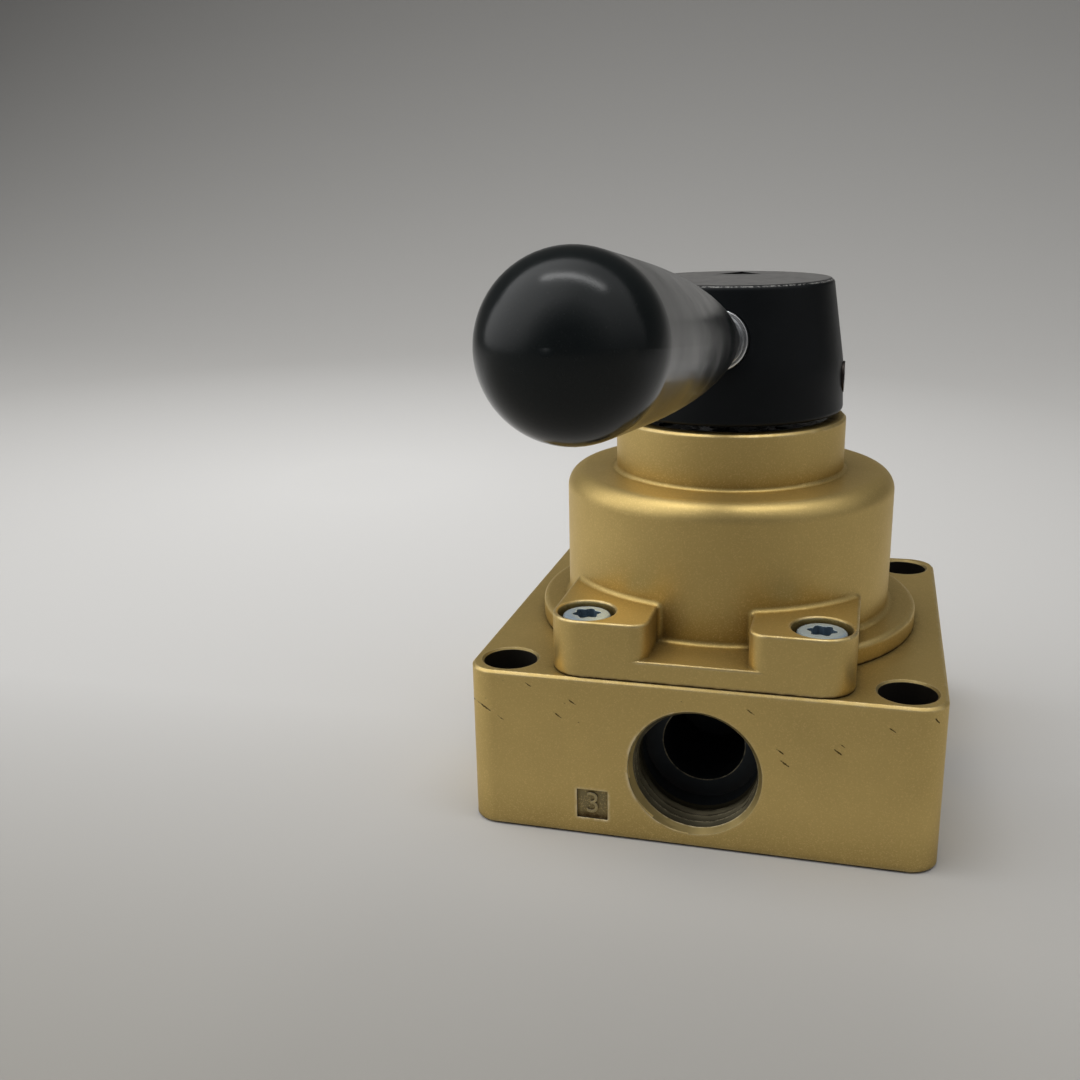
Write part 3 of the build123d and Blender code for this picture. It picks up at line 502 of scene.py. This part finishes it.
numbers = []
for quarter, figure in enumerate(PORT_NUMBERS):
    letter = bpy.data.curves.new("figure", "FONT")
    letter.body = figure
    letter.align_x, letter.align_y = "CENTER", "CENTER"
    letter.size = NUMBER_SIZE
    letter.extrude = NUMBER_RELIEF / 2
    holder = show("figure", letter)
    bpy.context.view_layer.update()
    mesh = bpy.data.meshes.new_from_object(holder.evaluated_get(bpy.context.evaluated_depsgraph_get()))
    middle_of_relief = -half_width + POCKET_DEPTH - NUMBER_RELIEF / 2
    mesh.transform(
        Matrix.Rotation(quarter * pi / 2, 4, "Z")
        @ Matrix.Translation((POCKET_ACROSS, middle_of_relief, POCKET_HEIGHT))
        @ Matrix.Rotation(pi / 2, 4, "X")
    )
    numbers.append(tidy(mesh))
    bpy.data.objects.remove(holder)
port_numbers = gather("port_numbers", numbers)


def figure_finish(middle):
    """0 on a figure's face, 1 on its sides, which take the pocket wall's painted shade."""
    face_depth = half_width - POCKET_DEPTH + NUMBER_RELIEF
    return int(max(abs(middle.x), abs(middle.y)) < face_depth - HAIR)


figure_face = gold_lacquer("gold lacquer, figures", 0.25 * MM, 0.006 * MM, 0.0, FIGURE_LACQUER, 0.0)
paint_faces(port_numbers, figure_finish, [figure_face, pocket_wall])
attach(port_numbers, "housing")


# ------------------------------------------------------------ bonnet
# The cast cover with its screw ears, tower and neck, in the same lacquer as the block.
# Its skin is coarser, because only the neck's top and the screw seats are machined. Dirt
# settles in the seam where it is screwed down on the block.
SEAM_DIRT = 0.20 * MM  # thick up to here above the block
SEAM_CLEAN = 0.55 * MM  # and gone from here


def wear_finish(cad_name, worn):
    """Give a CAD node a new finish in the place of its plain ones."""
    slots = node[cad_name].data.materials
    for number in range(len(slots)):
        slots[number] = worn


seam = (block_top + SEAM_DIRT, block_top + SEAM_CLEAN)
wear_finish("bonnet", gold_lacquer("gold lacquer, bonnet", 0.42 * MM, 0.024 * MM, 0.0, grime=seam))


# ------------------------------------------------------------ parts under the bonnet
# The seat plate and the disc are lapped face to face; O-rings seal each port and the
# cover; dowels place the plate. Sprung balls click into the detent plate's notches.
# None of them shows while the valve is closed up.
BRIGHT_ALUMINIUM = (0.56, 0.57, 0.58)
BRIGHT_STEEL = (0.50, 0.50, 0.50)
SPRING_STEEL = (0.34, 0.34, 0.35)
BRONZE = (0.47, 0.28, 0.12)
RUBBER = (0.012, 0.012, 0.013)
RUBBER_BLOOM = (0.05, 0.05, 0.05)


def from_middle(tree, across, along):
    """Distance of a point from the middle, from its distances along two square axes."""
    squares = math(tree, "ADD", math(tree, "POWER", across, 2.0), math(tree, "POWER", along, 2.0))
    return math(tree, "SQRT", squares)


def turning_marks():
    """Fine rings left by a lathe or a lap about the stem's axis: a height, 0 to 1."""
    tree, takes, gives = effect("turning marks", {"Spacing": 0.12 * MM}, {"Ring": "Float"})
    axes = axes_of(tree, place(tree))
    radius = from_middle(tree, axes["X"], axes["Y"])
    along = put(tree, "CombineXYZ", {"X": radius, "Y": axes["Z"]}).outputs[0]
    tree.links.new(noise(tree, takes["Spacing"], 2.0, 0.6, along), gives["Ring"])
    return tree


TURNING_MARKS = turning_marks()


def machined(name, colour, roughness, spacing, metallic=1.0):
    """Machined or plated metal: turning marks, smears, slightly brighter rims from wear and a painted
    highlight, and corners darkened by dirt and painted shade.
    """
    made, tree, surface = finish(name, Metallic=metallic)
    wear_and_light = use(tree, EDGE_WEAR_AND_LIGHT, Width=0.25 * MM, Breakup=0.8 * MM, Reach=1.2 * MM)
    ring = use(tree, TURNING_MARKS, Spacing=spacing)["Ring"]
    smear = use(tree, SMEARS, Size=6 * MM)["Smear"]
    bright = [min(1.0, 1.25 * part) for part in colour]
    shade = blend(tree, math(tree, "MULTIPLY", smear, 0.3), colour, [0.7 * part for part in colour])
    # Rims: wear and a painted highlight; corners: dirt and painted shade.
    shade = blend(tree, math(tree, "MULTIPLY", wear_and_light["Rubbed and highlit"], 0.6), shade, bright)
    shade = blend(tree, math(tree, "MULTIPLY", wear_and_light["Dirt and shade"], 0.5), shade, CORNER_DIRT_AND_SHADE)
    rough = stretch(tree, smear, 0.0, 1.0, roughness, roughness + 0.12)
    relief = bump(tree, ring, 0.003 * MM, wear_and_light["Rounded"])
    feed(tree, surface, Base_Color=shade, Roughness=rough, Normal=relief)
    return made


def moulded_rubber(name):
    """Black nitrile rubber with a dusty bloom."""
    made, tree, surface = finish(name, Sheen_Weight=0.1)
    bloom = use(tree, SMEARS, Size=3 * MM)["Smear"]
    colour = blend(tree, math(tree, "MULTIPLY", bloom, 0.35), RUBBER, RUBBER_BLOOM)
    rough = stretch(tree, bloom, 0.0, 1.0, 0.55, 0.75)
    grain = noise(tree, 0.15 * MM, 2.0)
    flat = put(tree, "NewGeometry").outputs["Normal"]
    feed(tree, surface, Base_Color=colour, Roughness=rough, Normal=bump(tree, grain, 0.004 * MM, flat))
    return made


rubber = moulded_rubber("nitrile rubber")
lapped = machined("lapped aluminium", BRIGHT_ALUMINIUM, 0.22, 0.10 * MM)
ground_steel = machined("ground steel", BRIGHT_STEEL, 0.20, 0.08 * MM)
spring_wire = machined("drawn spring wire", SPRING_STEEL, 0.30, 0.30 * MM)
bronze = machined("bearing bronze", BRONZE, 0.32, 0.14 * MM)
MADE_OF = (
    (rubber, ("bonnet_o_ring", "port_seals", "stem_seals")),
    (lapped, ("seat_plate", "rotary_disc")),
    (ground_steel, ("seat_pins", "drive_pins", "detent_plate", "detent_plate_pins")),
    (ground_steel, ("detent_balls", "stem")),
    (spring_wire, ("disc_spring", "detent_springs")),
    (bronze, ("stem_bush", "thrust_washer")),
)
for worn, cad_names in MADE_OF:
    for cad_name in cad_names:
        wear_finish(cad_name, worn)


# ------------------------------------------------------------ cover screws and washers
# Four M4 cap screws with a six-lobe socket hold the bonnet down through split spring washers. All are
# zinc plated with a blue passivation, painted darker inside the sockets as shade.
HEAD_RADIUS = 3.75 * MM
HEAD_HEIGHT = 4.2 * MM
SHANK_RADIUS = 2.0 * MM
SHANK_PITCH = 0.7 * MM
SHANK_THREAD = 0.31 * MM
SOCKET_DEPTH = 2.0 * MM
SOCKET_RADIUS = 1.95 * MM
SOCKET_LOBE = 0.26 * MM
SOCKET_CONE = 1.35  # depth to the drilled tip, against the socket's own depth
SOCKET_TURNS = (0.35, 0.95, 0.1, 0.6)  # each screw stopped at its own angle, in radians
TIP_RADIUS = 1.45 * MM
# The rounding of a head's upper edge: pairs of millimetres inward and down.
CROWN = ((0.0, 0.62), (0.06, 0.38), (0.20, 0.20), (0.42, 0.08), (0.75, 0.02))
ZINC = (0.58, 0.72, 0.84)
# Painted shade: the blue zinc inside the sockets.
ZINC_IN_SOCKET_SHADE = (0.13, 0.19, 0.25)
ZINC_ON_WASHERS = (0.55, 0.58, 0.60)


def six_lobe_tool(top):
    """Cutter for a six-lobe socket with a drilled cone at its foot."""
    steps = 72
    floor, tip = top - SOCKET_DEPTH, top - SOCKET_CONE * SOCKET_DEPTH
    levels = ((0.0, tip), (0.78, floor), (1.0, floor), (1.0, top))
    points = []
    for share, level in (*levels, (1.15, top + 0.15 * MM)):
        for step in range(steps):
            angle = 2 * pi * step / steps
            radius = share * (SOCKET_RADIUS + SOCKET_LOBE * cos(6 * angle))
            points.append((radius * cos(angle), radius * sin(angle), level))
    faces = []
    for ring in range(len(levels)):
        for step in range(steps):
            aside = (step + 1) % steps
            lower, upper = ring * steps, (ring + 1) * steps
            faces.append((lower + step, lower + aside, upper + aside, upper + step))
    faces.append(tuple(len(levels) * steps + step for step in range(steps)))
    mesh = bpy.data.meshes.new("socket_tool")
    mesh.from_pydata(points, [], faces)
    return show("socket_tool", tidy(mesh))


screws_low, screws_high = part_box("cover_screws")
shank_length = screws_high.z - screws_low.z - HEAD_HEIGHT
head_top = shank_length + HEAD_HEIGHT
outline = [(0.0, 0.0), (TIP_RADIUS, 0.0)]
fades = (0.2 * MM, 0.7 * MM)
outline += threaded(SHANK_RADIUS, -SHANK_THREAD, 0.3 * MM, shank_length - 0.4 * MM, SHANK_PITCH, fades, 6)
outline += [
    (SHANK_RADIUS, shank_length - 0.2 * MM),
    (SHANK_RADIUS, shank_length),
    (HEAD_RADIUS - 0.25 * MM, shank_length),
    (HEAD_RADIUS, shank_length + 0.25 * MM),
]
outline += [(HEAD_RADIUS - inward * MM, head_top - down * MM) for inward, down in CROWN]
outline += [(SOCKET_RADIUS + 0.60 * MM, head_top), (0.0, head_top)]
screw = turned("cap_screw", outline, SHANK_PITCH, around=48)
cut(screw, six_lobe_tool(head_top))
screw_x = screws_high.x - HEAD_RADIUS
screw_y = screws_high.y - HEAD_RADIUS
copies = []
for (x, y), turn in zip(((-1, -1), (1, -1), (-1, 1), (1, 1)), SOCKET_TURNS):
    mesh = screw.data.copy()
    seat = Matrix.Translation((x * screw_x, y * screw_y, screws_low.z))
    mesh.transform(seat @ Matrix.Rotation(turn, 4, "Z"))
    copies.append(mesh)
bpy.data.objects.remove(screw)
cap_screws = gather("cap_screws", copies)


def screw_finish(middle):
    """1 inside a socket, 0 elsewhere on a screw."""
    off_axis = hypot(abs(middle.x) - screw_x, abs(middle.y) - screw_y)
    in_socket = off_axis < SOCKET_RADIUS + SOCKET_LOBE + 2 * HAIR
    return int(in_socket and screws_high.z - 1.6 * SOCKET_DEPTH < middle.z < screws_high.z - HAIR)


zinc = machined("blue zinc", ZINC, 0.15, 0.20 * MM, metallic=0.60)
zinc_in_socket_shade = machined("blue zinc, socket in painted shade", ZINC_IN_SOCKET_SHADE, 0.20, 0.20 * MM, metallic=0.35)
paint_faces(cap_screws, screw_finish, [zinc, zinc_in_socket_shade])
smooth(cap_screws, 34)
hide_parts("cover_screws")
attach(cap_screws, "housing")
wear_finish("spring_washers", machined("zinc, washers", ZINC_ON_WASHERS, 0.34, 0.20 * MM))


# ------------------------------------------------------------ turning knob
# Moulded from black phenolic, and held on the stem by a grub screw in its side. A small sunk arrow on
# top, opposite the lever, shows the position. The top is scuffed from handling, and a thin painted
# highlight runs along its rim; the sides stay satin.
ARROW_WIDTH = 7.6 * MM
ARROW_BASE = 7.6 * MM
ARROW_POINT = 13.4 * MM
ARROW_DEPTH = 0.35 * MM
KNOB_RIM_RADIUS = 15.7 * MM
KNOB_RIM_LEVEL = 83.1 * MM
SATIN_BLACK = (0.0040, 0.0050, 0.0060)
SUNK_BLACK = (0.0030, 0.0035, 0.0040)
DUST = (0.20, 0.20, 0.19)
HANDLED_BLACK = (0.165, 0.160, 0.154)
# Painted highlight colour for the line along the knob's top rim.
RIM_HIGHLIGHT_GREY = (0.62, 0.61, 0.58)
BLACKENED_STEEL = (0.045, 0.040, 0.038)


def rim_highlight():
    """Mask of a thin painted highlight line, broken up in specks, around a rim of given radius and level.
    """
    rim = {"Radius": KNOB_RIM_RADIUS, "Level": KNOB_RIM_LEVEL, "Width": 0.22 * MM}
    tree, takes, gives = effect("rim highlight", rim, {"Line": "Float"})
    axes = axes_of(tree, place(tree))
    outward = math(tree, "SUBTRACT", from_middle(tree, axes["X"], axes["Y"]), takes["Radius"])
    upward = math(tree, "SUBTRACT", axes["Z"], takes["Level"])
    gap = from_middle(tree, outward, upward)
    on_line = math(tree, "SUBTRACT", 1.0, math(tree, "DIVIDE", gap, takes["Width"]))
    specks = stretch(tree, noise(tree, 0.5 * MM, 4.0, 0.7), 0.42, 0.60)
    tree.links.new(math(tree, "MULTIPLY", math(tree, "MAXIMUM", on_line, 0.0), specks), gives["Line"])
    return tree


RIM_HIGHLIGHT = rim_highlight()


def moulded_black(name, roughness, specular, black, rim_highlight_share=0.0, handled=0.0):
    """Black moulding: faint flow marks, dust, a painted highlight line on the rim and a paler handled
    top.
    """
    made, tree, surface = finish(name, Specular_IOR_Level=specular, IOR=1.5)
    rounded = put(tree, "Bevel", {"Radius": 0.12 * MM}, samples=4).outputs["Normal"]
    smear = use(tree, SMEARS, Size=9 * MM)["Smear"]
    dust = stretch(tree, noise(tree, 0.18 * MM, 2.0), 0.66, 0.76)
    colour = blend(tree, math(tree, "MULTIPLY", smear, 0.5), black, [1.6 * part for part in black])
    colour = blend(tree, math(tree, "MULTIPLY", dust, 0.05), colour, DUST)
    upward = axes_of(tree, put(tree, "NewGeometry").outputs["Normal"])["Z"]
    on_top = math(tree, "MULTIPLY", stretch(tree, upward, 0.93, 0.99), handled)
    rubbing = stretch(tree, noise(tree, 1.5 * MM, 5.0, 0.7), 0.30, 0.66, 0.55, 1.0)
    colour = blend(tree, math(tree, "MULTIPLY", on_top, rubbing), colour, HANDLED_BLACK)
    # Painted highlight: a thin speckled line along the top rim.
    line = math(tree, "MULTIPLY", use(tree, RIM_HIGHLIGHT)["Line"], rim_highlight_share)
    colour = blend(tree, line, colour, RIM_HIGHLIGHT_GREY)
    rough = stretch(tree, smear, 0.0, 1.0, roughness, roughness + 0.08)
    relief = bump(tree, noise(tree, 0.35 * MM, 2.0), 0.004 * MM, rounded)
    feed(tree, surface, Base_Color=colour, Roughness=rough, Normal=relief)
    return made


knob_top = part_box("knob_cap")[1].z
knob = copy_of("knob_cap", "turning_knob")
arrow_outline = [(-ARROW_WIDTH / 2, ARROW_BASE), (ARROW_WIDTH / 2, ARROW_BASE), (0.0, ARROW_POINT)]
arrow_mesh = bpy.data.meshes.new("arrow_tool")
arrow_mesh.from_pydata(
    [(x, y, knob_top + level) for level in (-ARROW_DEPTH, ARROW_DEPTH) for x, y in arrow_outline],
    [],
    [(2, 1, 0), (3, 4, 5), (0, 1, 4, 3), (1, 2, 5, 4), (2, 0, 3, 5)],
)
cut(knob, show("arrow_tool", tidy(arrow_mesh)))


def knob_finish(middle):
    """1 on the sunk arrow, which hands don't polish, and 0 elsewhere."""
    in_arrow = knob_top - ARROW_DEPTH - 5 * HAIR < middle.z < knob_top - 5 * HAIR
    return int(in_arrow and hypot(middle.x, middle.y) < ARROW_POINT + 10 * HAIR)


handled_black = moulded_black("black phenolic, knob", 0.34, 0.16, SATIN_BLACK, 1.0, 1.0)
sunk_black = moulded_black("black phenolic, arrow", 0.50, 0.16, SUNK_BLACK)
paint_faces(knob, knob_finish, [handled_black, sunk_black])
smooth(knob)
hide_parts("knob_cap")
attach(knob, "rotor")
wear_finish("knob_set_screw", machined("blackened steel", BLACKENED_STEEL, 0.35, 0.10 * MM))


# ------------------------------------------------------------ lever rod and lock collar
# A chromed M6 rod, threaded where it passes through the lock collar into the stem. The
# collar is turned from bar, chromed, and dished inside its bright outer lip.
ROD_RADIUS = 3.0 * MM
ROD_PITCH = 1.0 * MM
ROD_THREAD = 0.5 * MM
ROD_THREADED_PAST_COLLAR = 2.2 * MM
COLLAR_RADIUS = 4.6 * MM
COLLAR_LENGTH = 5.0 * MM
COLLAR_BORE = 3.05 * MM
COLLAR_LIP = 0.45 * MM
COLLAR_DISH = 0.7 * MM
CHROME = (0.82, 0.83, 0.84)

collar_low, collar_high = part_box("lever_collar")
grip_low, grip_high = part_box("lever_grip")
rod_low, rod_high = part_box("lever_rod")
ball_radius = (grip_high.x - grip_low.x) / 2
ball_middle = Vector((0.0, grip_low.y + ball_radius, grip_high.z - ball_radius))
collar_middle = (collar_low + collar_high) / 2
rod_middle = (rod_low + rod_high) / 2
along = (ball_middle - collar_middle).normalized()
rod_length = (rod_high.y - rod_low.y - 2 * ROD_RADIUS * abs(along.z)) / abs(along.y)
lay = along.to_track_quat("Z", "X").to_matrix().to_4x4()

to_collar = (collar_middle - rod_middle).dot(along) + rod_length / 2
thread_end = to_collar + COLLAR_LENGTH / 2 + ROD_THREADED_PAST_COLLAR
fades = (0.3 * MM, 1.2 * MM)
outline = [(0.0, 0.0), (ROD_RADIUS - 0.6 * MM, 0.0)]
outline += threaded(ROD_RADIUS, -ROD_THREAD, 0.4 * MM, thread_end, ROD_PITCH, fades, 8)
outline += [
    (ROD_RADIUS, thread_end + 0.3 * MM),
    (ROD_RADIUS, rod_length - 0.5 * MM),
    (ROD_RADIUS - 0.5 * MM, rod_length),
    (0.0, rod_length),
]
rod = turned("threaded_rod", outline, ROD_PITCH, around=64)
rod.data.transform(Matrix.Translation(rod_middle - along * rod_length / 2) @ lay)
chrome = machined("chrome plate", CHROME, 0.10, 0.35 * MM)
rod.data.materials.append(chrome)
smooth(rod, 40)
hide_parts("lever_rod")
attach(rod, "rotor")

face = COLLAR_LENGTH / 2
lip = COLLAR_RADIUS - COLLAR_LIP
outline = [
    (COLLAR_BORE, -face),
    (COLLAR_RADIUS - 0.3 * MM, -face),
    (COLLAR_RADIUS, -face + 0.3 * MM),
    (COLLAR_RADIUS, face - 0.22 * MM),
    (COLLAR_RADIUS - 0.07 * MM, face - 0.06 * MM),
    (COLLAR_RADIUS - 0.2 * MM, face),
    (lip + 0.08 * MM, face - 0.02 * MM),
    (lip, face - 0.12 * MM),
    (lip - 0.12 * MM, face - COLLAR_DISH),
    (COLLAR_BORE + 0.25 * MM, face - COLLAR_DISH - 0.1 * MM),
    (COLLAR_BORE, face - COLLAR_DISH - 0.35 * MM),
]
collar = turned("lock_collar", outline, around=72, tube=True)
collar.data.transform(Matrix.Translation(collar_middle) @ lay)
collar.data.materials.append(chrome)
smooth(collar, 40)
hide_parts("lever_collar")
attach(collar, "rotor")


# ------------------------------------------------------------ grip
# A long tapered handle ending in a ball, moulded in glossy black phenolic around the
# rod. It is polished by hands, so it has no sharp wear, only a thin film of smears.
POLISHED_BLACK = (0.0045, 0.0065, 0.0070)

wear_finish("lever_grip", moulded_black("black phenolic, grip", 0.15, 0.28, POLISHED_BLACK))


# ------------------------------------------------------------ floor, lamps and camera
# A pale paper sweep under and behind the valve. Its colour carries a painted pool of light just behind
# the valve, painted falloff to the sides and far back, and painted shadow in front. It is lit by a long
# soft lamp overhead and by a grey room that is brightest up at the left and dim in front.
SWEEP_FRONT = -3.0
SWEEP_START = 0.45
SWEEP_RADIUS = 0.7
SWEEP_TOP = 2.2
SWEEP_HALF_WIDTH = 4.0
SWEEP_STEPS = 16
# The paper's colours below paint a pool of light, its falloff, and a shadow in front.
PAINTED_LIGHT_POOL_MIDDLE = (-0.15, 0.18, 0.0)
PAPER_IN_PAINTED_LIGHT = (0.82, 0.81, 0.79)
PAPER_PAINTED_FALLOFF_ASIDE = (0.54, 0.53, 0.51)
PAPER_PAINTED_FALLOFF_FAR = (0.14, 0.137, 0.13)
PAPER_PAINTED_SHADOW_NEAR = (0.34, 0.325, 0.295)
PAPER_PAINTED_SHADOW_IN_FRONT = (0.24, 0.232, 0.215)
ROOM_BELOW = (0.14, 0.14, 0.14)
ROOM_ABOVE = (0.84, 0.84, 0.84)
GLOW = (1.95, 1.95, 1.95)
GLOW_FROM = (-0.72, 0.02, 0.69)
DIM = (0.13, 0.13, 0.135)
DIM_FROM = (0.15, -0.96, 0.20)
ROOM_STRENGTH = 0.90
LAMP_LENGTH = 0.90
LAMP_WIDTH = 0.10
LAMP_POWER = 2.0
LAMP_PLACE = (0.05, -0.08, 0.95)
LENS = 39.51
CAMERA_PLACE = (0.02269, -0.19756, 0.09810)
CAMERA_PAN, CAMERA_TILT, CAMERA_ROLL = radians(15.901), radians(73.432), radians(-1.290)

profile = [(SWEEP_FRONT, 0.0), (SWEEP_START, 0.0)]
for step in range(1, SWEEP_STEPS + 1):
    angle = pi / 2 * step / SWEEP_STEPS
    profile.append((SWEEP_START + SWEEP_RADIUS * sin(angle), SWEEP_RADIUS * (1 - cos(angle))))
profile.append((SWEEP_START + SWEEP_RADIUS, SWEEP_TOP))
sweep_mesh = bpy.data.meshes.new("paper_sweep")
sweep_mesh.from_pydata(
    [(x, y, z) for y, z in profile for x in (-SWEEP_HALF_WIDTH, SWEEP_HALF_WIDTH)],
    [],
    [(2 * i, 2 * i + 1, 2 * i + 3, 2 * i + 2) for i in range(len(profile) - 1)],
)
sweep = show("paper_sweep", sweep_mesh)
sweep_mesh.shade_smooth()
paper, tree, surface = finish("pale paper", Roughness=0.85)
# Painted light on the paper: a bright pool, darker aside and far, and painted shadow in front.
from_painted_pool = put(tree, "VectorMath", {0: place(tree), 1: PAINTED_LIGHT_POOL_MIDDLE}, operation="DISTANCE").outputs["Value"]
forward = math(tree, "MULTIPLY", axes_of(tree, place(tree))["Y"], -1.0)
colour = blend(tree, stretch(tree, from_painted_pool, 0.03, 0.32), PAPER_IN_PAINTED_LIGHT, PAPER_PAINTED_FALLOFF_ASIDE)
colour = blend(tree, stretch(tree, from_painted_pool, 0.32, 1.25), colour, PAPER_PAINTED_FALLOFF_FAR)
colour = blend(tree, stretch(tree, forward, 0.00, 0.12), colour, PAPER_PAINTED_SHADOW_NEAR)
colour = blend(tree, stretch(tree, forward, 0.12, 0.50), colour, PAPER_PAINTED_SHADOW_IN_FRONT)
feed(tree, surface, Base_Color=colour)
sweep_mesh.materials.append(paper)

room = bpy.data.worlds.new("room")
bpy.context.scene.world = room
room.use_nodes = True
tree = room.node_tree
facing = put(tree, "TexCoord").outputs["Generated"]


def toward(direction):
    """How far a look into the room is turned towards a direction, from -1 to 1."""
    return put(tree, "VectorMath", {0: facing, 1: direction}, operation="DOT_PRODUCT").outputs["Value"]


walls = blend(tree, stretch(tree, toward((0, 0, 1)), -0.05, 0.75), ROOM_BELOW, ROOM_ABOVE)
walls = blend(tree, stretch(tree, toward(GLOW_FROM), 0.45, 1.0), walls, GLOW)
walls = blend(tree, stretch(tree, toward(DIM_FROM), 0.60, 0.95), walls, DIM)
tree.links.new(walls, tree.nodes["Background"].inputs["Color"])
tree.nodes["Background"].inputs["Strength"].default_value = ROOM_STRENGTH

lamp = bpy.data.lights.new("overhead lamp", "AREA")
lamp.shape = "RECTANGLE"
lamp.size, lamp.size_y = LAMP_LENGTH, LAMP_WIDTH
lamp.energy = LAMP_POWER
overhead = show("overhead lamp", lamp)
overhead.location = LAMP_PLACE

camera = show("camera", bpy.data.cameras.new("camera"))
camera.data.lens = LENS
camera.data.sensor_width = 36.0
camera.data.clip_start = 0.01
camera.matrix_world = (
    Matrix.Translation(CAMERA_PLACE)
    @ Matrix.Rotation(CAMERA_PAN, 4, "Z")
    @ Matrix.Rotation(CAMERA_TILT, 4, "X")
    @ Matrix.Rotation(CAMERA_ROLL, 4, "Z")
)
bpy.context.scene.camera = camera
bpy.context.scene.view_settings.view_transform = "Standard"
